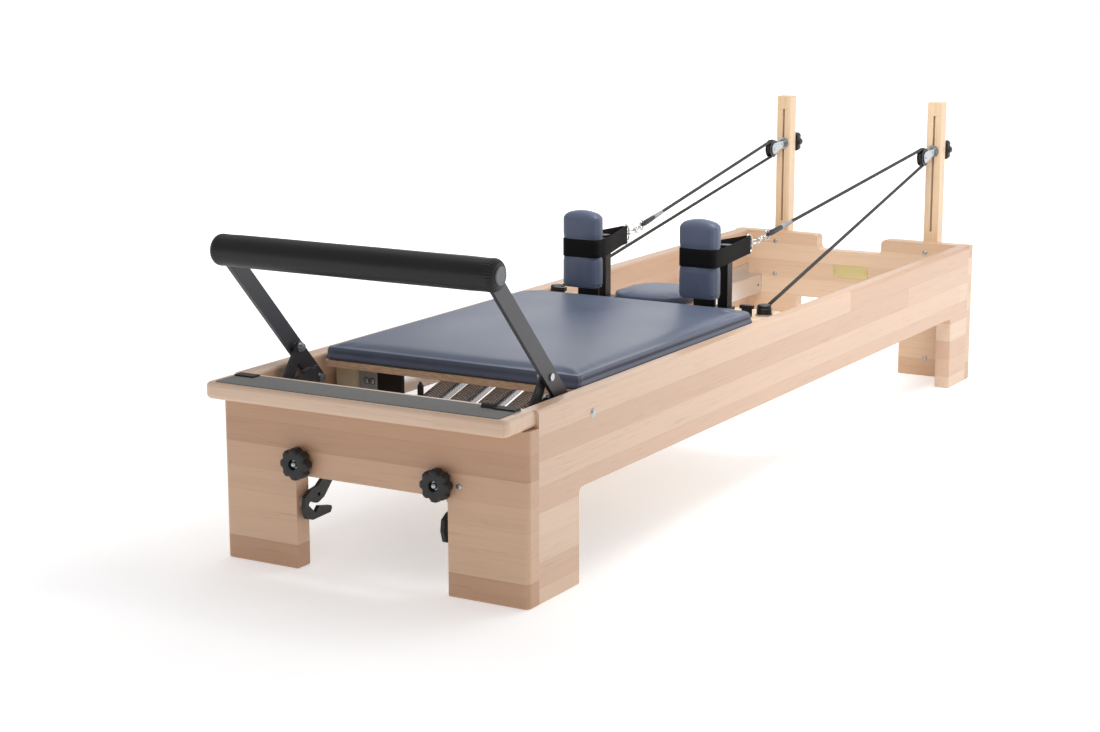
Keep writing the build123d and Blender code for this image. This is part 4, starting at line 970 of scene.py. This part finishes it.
rollShape = {"radius": 0.030, "endRound": 0.013, "gathers": 30, "gatherDepth": 0.0011}
low, high = nodeBox("footbar_roll")
barAxis = Vector((0, (low.y + high.y) / 2, (low.z + high.z) / 2))
halfLength = (high.x - low.x) / 2


def rollRadius(d):  # d is the distance in from the end
    if d >= rollShape["endRound"]:
        return rollShape["radius"] - 0.0006 * bell(d - 0.03, 0.02)
    t = d / rollShape["endRound"]
    return 0.0175 + (rollShape["radius"] - 0.0175) * math.sqrt(max(1 - (1 - t) ** 2, 0))


def rollRipple(along, angle, radius):
    d = halfLength - abs(along)
    strength = max(0.0, 1 - d / 0.030)
    pull = abs(math.sin(angle * rollShape["gathers"] / 2)) ** 0.6
    uneven = 0.0002 * noise.noise(Vector((along * 9, math.cos(angle), 0)))
    return -rollShape["gatherDepth"] * strength * (1 - pull) + uneven


distances = [0.0, 0.0006, 0.0015, 0.003, 0.005, 0.0075, 0.010, 0.013, 0.017, 0.022, 0.030, 0.042, 0.06]
profile = [(-halfLength, 0.0)] + [(-halfLength + d, rollRadius(d)) for d in distances]
profile += [(-halfLength + 0.06 + k * (2 * halfLength - 0.12) / 20, rollShape["radius"])
            for k in range(1, 20)]
profile += [(halfLength - d, rollRadius(d)) for d in reversed(distances)] + [(halfLength, 0.0)]
roll = lathe("footbarRoll", profile, barAxis, (1, 0, 0), blackVinyl, 180, rollRipple)
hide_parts("footbar_roll")
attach(roll, "footbar")

plugs = []
for name, side in sides:
    end = barAxis + Vector((side * halfLength, 0, 0))
    shape = [(0.0, 0.0), (0.0, 0.0166), (0.0022, 0.0166), (0.0030, 0.0158), (0.0030, 0.0135),
             (0.0024, 0.0128),
             (0.0024, 0.0)]
    plugs.append(lathe("rollPlug", shape, end, (side, 0, 0), discGrey, 48))
plug = joinPieces("rollEndPlugs", plugs)
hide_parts("footbar_tube")
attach(plug, "footbar")
print("footbar padded")

bandShape = {"thickness": 0.0024, "width": 0.040, "inPad": 0.0026}


def bandX(side, face, y):  # one face of the loop runs straight past the pad and then leans in to the ring
    padLow, padHigh = nodeBox("shoulder_pads", side)
    ringLow, ringHigh = nodeBox("d_rings", side)
    back, end = padHigh.y - 0.006, nodeBox("strap_loops", side)[1].y - 0.005
    begin = (padLow.x + padHigh.x) / 2 + face * bandHalf(side)
    t = max((y - back) / (end - back), 0)
    ease = t * t * (3 - 2 * t) * 0.35 + t * 0.65
    return begin + ((ringLow.x + ringHigh.x) / 2 + face * 0.0065 - begin) * ease


def bandHalf(side):  # half the width of the loop where it passes the pad
    padLow, padHigh = nodeBox("shoulder_pads", side)
    return (padHigh.x - padLow.x) / 2 - bandShape["inPad"]


def bandLoop(side):  # the band's middle line seen from above
    padLow, padHigh = nodeBox("shoulder_pads", side)
    loopLow, loopHigh = nodeBox("strap_loops", side)
    ringLow, ringHigh = nodeBox("d_rings", side)
    centre, half, r = (padLow.x + padHigh.x) / 2, bandHalf(side), 0.014
    front = loopLow.y + bandShape["thickness"] / 2 + 0.0006
    back, end = padHigh.y - 0.006, loopHigh.y - 0.005
    halves = []
    for face in (1, -1):
        points = [(centre + face * (half - r + r * math.sin(math.pi / 16 * k)),
                   front + r - r * math.cos(math.pi / 16 * k))
                  for k in range(9)]
        points += [(centre + face * half, y) for y in (front + 0.020, front + 0.028, back)]
        points += [(bandX(side, face, back + (end - back) * k / 12),
                    back + (end - back) * k / 12) for k in range(1, 13)]
        points.append(((ringLow.x + ringHigh.x) / 2 + face * 0.0045, end + 0.003))
        halves.append(points)
    tip = ((ringLow.x + ringHigh.x) / 2, end + 0.0045)
    return [Vector((x, y, strapMiddle)) for x, y in [(centre, front)] + halves[0] + [tip] + halves[1][::-1]]


def bandPiece(name, line, width, thickness):  # a flat band on edge round a closed line
    count = len(line)
    verts, faces = [], []
    lengths = [0.0]
    for i in range(1, count + 1):
        lengths.append(lengths[-1] + (line[i % count] - line[i - 1]).length)
    rim = 0.0008
    heights = [-0.5, -0.5 + rim / width, -0.25, 0, 0.25, 0.5 - rim / width, 0.5]
    section = [(h * width, -0.5 * thickness * (0.6 if abs(h) == 0.5 else 1)) for h in heights]
    section += [(h * width, 0.5 * thickness * (0.6 if abs(h) == 0.5 else 1)) for h in reversed(heights)]
    ring = len(section)
    for i in range(count):
        a, b = line[(i - 1) % count], line[(i + 1) % count]
        along = (b - a).normalized()
        out = Vector((along.y, -along.x, 0))
        for h, t in section:
            verts.append(line[i] + Vector((0, 0, h)) + out * t)
    for i in range(count):
        j = (i + 1) % count
        for k in range(ring):
            n = (k + 1) % ring
            faces.append((i * ring + k, i * ring + n, j * ring + n, j * ring + k))
    piece = meshPiece(name, verts, faces, webbing)
    layer = piece.data.uv_layers.new(name="alongBand")
    for polygon in piece.data.polygons:
        i, k = divmod(polygon.index, ring)
        n = (k + 1) % ring
        corners = ((lengths[i], section[k][0]), (lengths[i], section[n][0]), (lengths[i + 1], section[n][0]),
                   (lengths[i + 1], section[k][0]))
        for loop, uv in zip(polygon.loop_indices, corners):
            layer.data[loop].uv = uv
    faceOutward(piece)
    return smoothByAngle(piece, 50)


stitchSpots = []
for name, side in sides:
    line = bandLoop(side)
    band = bandPiece(f"{name}StrapLoop", line, bandShape["width"], bandShape["thickness"])
    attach(band, "carriage")
    loopLow, loopHigh = nodeBox("strap_loops", side)
    for face in (-1, 1):  # two rows of stitches hold the band's end round the ring
        for row in (0.012, 0.018):
            y = loopHigh.y - 0.005 - row
            x = bandX(side, face, y) + face * bandShape["thickness"] / 2
            stitchSpots += [((x, y, strapMiddle - 0.016 + k * 0.004), (0, 0.0, 1)) for k in range(9)]
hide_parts("strap_loops")
stitch = lathe("stitchShape", [(-1.5, 0), (-1.3, 0.25), (0, 0.42), (1.3, 0.25), (1.5, 0)], (0, 0, 0),
               (1, 0, 0), thread, 6)
stitches = repeatShape("strapStitches", stitch, stitchSpots, 0.0009, thread)
useUp(stitch)
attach(stitches, "carriage")
print("straps sewn")

hookShape = {"wire": 0.0019, "ringWire": 0.0021}
for name, side in sides:
    low, high = nodeBox("d_rings", side)
    x = (low.x + high.x) / 2
    wire = hookShape["ringWire"]
    y0, y1 = low.y + wire, high.y - wire
    z0, z1 = low.z + wire, high.z - wire
    points = []
    corners = ((y0, z0, 0.004, math.pi), (y1, z0, 0.017, 1.5 * math.pi), (y1, z1, 0.017, 0),
               (y0, z1, 0.004, math.pi / 2))
    for y, z, r, start in corners:
        cy = y + (r if y == y0 else -r)
        cz = z + (r if z == z0 else -r)
        for k in range(9):
            a = start + math.pi / 2 * k / 8
            points.append((x, cy + r * math.cos(a), cz + r * math.sin(a)))
    ring = tube(f"{name}DRing", points, wire, nickel, closed=True, around=14)
    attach(ring, "carriage")
    if side < 0:
        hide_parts("d_rings")
    # the swivel snap hook lies on the rope's line
    ringEnd = Vector((x, high.y - wire, (low.z + high.z) / 2))
    pull = (ropeStart[name] - ringEnd).normalized()
    turn = Matrix.Translation(ringEnd) @ turnAlong(pull, (side, 0, 0))

    def onHook(points):
        return [turn @ Vector(p) for p in points]

    bow = []
    for k in range(25):  # the open bow, wider than long, that the ring sits in
        a = math.radians(-28 + k * 288 / 24)
        bow.append((0.0125 - 0.0155 * math.cos(a), 0, 0.0125 * math.sin(a)))
    parts = [tube("bow", onHook(bow), hookShape["wire"], nickel, around=12)]
    parts.append(tube("neck", onHook([(0.0255, 0, 0.006), (0.0300, 0, 0.002), (0.0340, 0, 0)]), 0.0028,
                      nickel, around=12))
    gate = [(0.0015, 0, -0.0085), (0.010, 0, -0.0118), (0.020, 0, -0.0095), (0.0275, 0, -0.0035)]
    parts.append(tube("gate", onHook(gate), 0.0013, nickel, around=10))
    thumb = turn @ Vector((0.013, 0, -0.0115))
    parts.append(lathe("thumb", [(0, 0), (0, 0.0013), (0.004, 0.0013), (0.0048, 0.0021), (0.0056, 0.0018),
                                 (0.006, 0)],
                       thumb, turn.to_3x3() @ Vector((0, 0, -1)), nickel, 16))
    barrel = [(0.030, 0), (0.030, 0.0034), (0.0325, 0.0048), (0.0400, 0.0050), (0.0410, 0.0042),
              (0.0425, 0.0042),
              (0.0435, 0.0050), (0.0500, 0.0046), (0.0525, 0.0030), (0.0525, 0)]
    parts.append(lathe("barrel", barrel, ringEnd, pull, nickel, 28))
    stem = [(0.0525, 0), (0.0525, 0.0024), (0.0640, 0.0024), (0.0640, 0)]
    parts.append(lathe("stem", stem, ringEnd, pull, nickel, 16))
    eye = [(0.0725 - 0.0085 * math.cos(2 * math.pi * k / 28), 0.0115 * math.sin(2 * math.pi * k / 28), 0)
           for k in range(28)]
    parts.append(tube("eye", onHook(eye), 0.0020, nickel, closed=True, around=12))
    dropMaps(parts)
    hook = joinPieces(f"{name}SnapHook", parts)
    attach(hook, "carriage")
    if side < 0:
        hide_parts("snap_hooks")
    # the rope's bight round the eye, bound by a black sleeve and then a grey one
    bight = []
    for k in range(13):
        a = math.pi * k / 12
        bight.append((0.0805 - 0.0052 * math.sin(a) * 1.2, 0, 0.0035 * math.cos(a)))
    bight = [(0.094, 0, 0.0030)] + bight + [(0.094, 0, -0.0030)]
    loop = tube(f"{name}RopeBight", onHook(bight), 0.0030, braid, around=12)
    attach(loop, "carriage")
    black = [(0.0865, 0), (0.0865, 0.0052), (0.0885, 0.0064), (0.104, 0.0066), (0.122, 0.0063),
             (0.138, 0.0060),
             (0.1405, 0.0058), (0.1405, 0)]
    blackSleeve = lathe(f"{name}SleeveBlack", black, ringEnd, pull, sleeveBlack, 32)
    grey = [(0.1395, 0), (0.1395, 0.0056), (0.145, 0.0055), (0.178, 0.0052), (0.188, 0.0048),
            (0.1915, 0.0043), (0.1915, 0)]
    greySleeve = lathe(f"{name}SleeveGrey", grey, ringEnd, pull, sleeveGrey, 32)
    for piece in (blackSleeve, greySleeve):
        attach(piece, "carriage")
    if side < 0:
        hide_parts("rope_sleeves")
print("hooks and sleeves made")

knobShape = {"lobes": 8, "notch": 0.0042, "notchWidth": 0.27, "depth": 0.028}
knobProfile = [(0.0003, 0), (0.0003, 0.0130), (0.0058, 0.0130), (0.0060, 0.0270), (0.0066, 0.0292),
               (0.0082, 0.0306),
               (0.0105, 0.0311), (0.0235, 0.0307), (0.0258, 0.0298), (0.0272, 0.0280), (0.0279, 0.0250),
               (0.0280, 0.0200),
               (0.0281, 0.0115), (0.0276, 0.0100), (0.0200, 0.0096), (0.0200, 0)]


def knobScallop(along, angle, radius):  # hollows between the lobes
    if radius < 0.019:
        return 0
    pitch = 2 * math.pi / knobShape["lobes"]
    d = abs((angle % pitch) - pitch / 2)
    return -knobShape["notch"] * bell(d, knobShape["notchWidth"])


for name, side in sides:
    for kind, outward in (("foot", -1), ("riser", 1)):
        low, high = nodeBox(f"{name}_{kind}_knob")
        x, z = (low.x + high.x) / 2, (low.z + high.z) / 2
        tip = low.y if outward < 0 else high.y
        base = (x, tip - outward * knobShape["depth"], z)
        knob = lathe(f"{name}{kind.title()}Knob", knobProfile, base, (0, outward, 0), knobPlastic, 128,
                     knobScallop)
        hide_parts(f"{name}_{kind}_knob")
        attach(knob, f"{name}_{kind}_knob")
        washer = lathe("knobWasher", [(-0.001, 0.0), (-0.001, 0.0085), (0.0006, 0.0085), (0.0012, 0.0078),
                                      (0.0012, 0.0)],
                       (x, tip - outward * 0.0085, z), (0, outward, 0), zincSteel, 32)
        dome = [(0, 0.0062), (0.0035, 0.0062), (0.0042, 0.0056), (0.0060, 0.0048), (0.0075, 0.0032),
                (0.0082, 0.0)]
        cap = lathe("knobNut", [(0, 0.0)] + dome, (x, tip - outward * 0.0078, z), (0, outward, 0), zincSteel,
                    24)
        hardware = joinPieces(f"{name}{kind.title()}KnobBolt", [washer, cap])
        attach(hardware, f"{name}_{kind}_knob")

# rope reels: a ribbed black cap on a silver ring
reels = []
for name, side in sides:
    low, high = nodeBox("rope_reels", side)
    centre = Vector(((low.x + high.x) / 2, (low.y + high.y) / 2, low.z))
    height = high.z - low.z
    radius = (high.x - low.x) / 2
    shape = [(0, 0), (0, radius), (height * 0.55, radius), (height * 0.60, radius * 0.93),
             (height * 0.66, radius * 0.95),
             (height * 0.9, radius * 0.93), (height, radius * 0.80), (height * 0.97, radius * 0.3),
             (height * 0.97, 0)]
    reels.append(lathe("reelCap", shape, centre, (0, 0, 1), knobPlastic, 48,
                       lambda along, a, r: 0.0004 * math.sin(a * 16) if along < height * 0.55 else 0))
reel = joinPieces("ropeReelCaps", reels)
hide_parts("rope_reels")
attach(reel, "carriage")
print("knobs and reels finished")

glowingFloorPaint, tree, shader = newMaterial("paleGlowingStudioFloor", "#f4f4f4", 0.75)
shader.inputs["Emission Color"].default_value = hexColour("#ffffff")
# painted light: the floor glows, weakly near the reformer, where it also lights the underside, and more
# strongly with distance until it is plain white
away = addNode(tree, "ShaderNodeVectorMath", {"operation": "LENGTH"}, {0: place(tree)})
glow = addNode(tree, "ShaderNodeMapRange", {"From Min": 1.4, "From Max": 4.5, "To Min": 0.36, "To Max": 1.0},
               {"Value": away.outputs["Value"]})
tree.links.new(glow.outputs[0], shader.inputs["Emission Strength"])
dust = addNode(tree, "ShaderNodeTexNoise", {"Scale": 3.0, "Detail": 2.0}, {"Vector": place(tree)})
tree.links.new(ramp(tree, dust.outputs["Fac"], [(0.3, "#f2f2f2"), (0.7, "#f6f6f6")]),
               shader.inputs["Base Color"])
reach = 14
floor = meshPiece("studioFloor", [(-reach, -reach, 0), (reach, -reach, 0), (reach, reach, 0),
                                  (-reach, reach, 0)],
                  [(0, 1, 2, 3)], glowingFloorPaint, smooth=False)

world = bpy.data.worlds.new("studioAir")
world.use_nodes = True
background = next(n for n in world.node_tree.nodes if n.type == "BACKGROUND")
background.inputs["Color"].default_value = hexColour("#fbfbfd")
# plain white behind, softer on the object
seen = addNode(world.node_tree, "ShaderNodeLightPath").outputs["Is Camera Ray"]
strength = addNode(world.node_tree, "ShaderNodeMapRange", {"To Min": 0.52, "To Max": 1.05}, {"Value": seen})
world.node_tree.links.new(strength.outputs[0], background.inputs["Strength"])
bpy.context.scene.world = world
lights = {
    "ceilingPanel": {"place": (0.2, 0.4, 3.4), "aim": (0, 0.2, 0.3), "size": (3.2, 4.2), "watts": 34},
    "rightWindow": {"place": (2.8, 3.0, 1.5), "aim": (0, 0.9, 0.3), "size": (2.2, 2.4), "watts": 31},
    "headEndPanel": {"place": (0.6, -0.1, 1.7), "aim": (0.05, 1.15, 0.45), "size": (0.8, 0.6), "watts": 17},
    "backPanel": {"place": (-1.6, 4.0, 2.2), "aim": (0, 0.4, 0.4), "size": (3.0, 2.0), "watts": 24},
}
for name, setup in lights.items():
    data = bpy.data.lights.new(name, "AREA")
    data.shape = "RECTANGLE"
    data.size, data.size_y = setup["size"]
    data.energy = setup["watts"]
    data.color = (1.0, 0.985, 0.965)
    lamp = bpy.data.objects.new(name, data)
    bpy.context.collection.objects.link(lamp)
    lamp.location = setup["place"]
    lamp.rotation_euler = (Vector(setup["aim"]) - Vector(setup["place"])).to_track_quat("-Z", "Y").to_euler()
bpy.context.scene.view_settings.view_transform = "Standard"
print("stage lit")
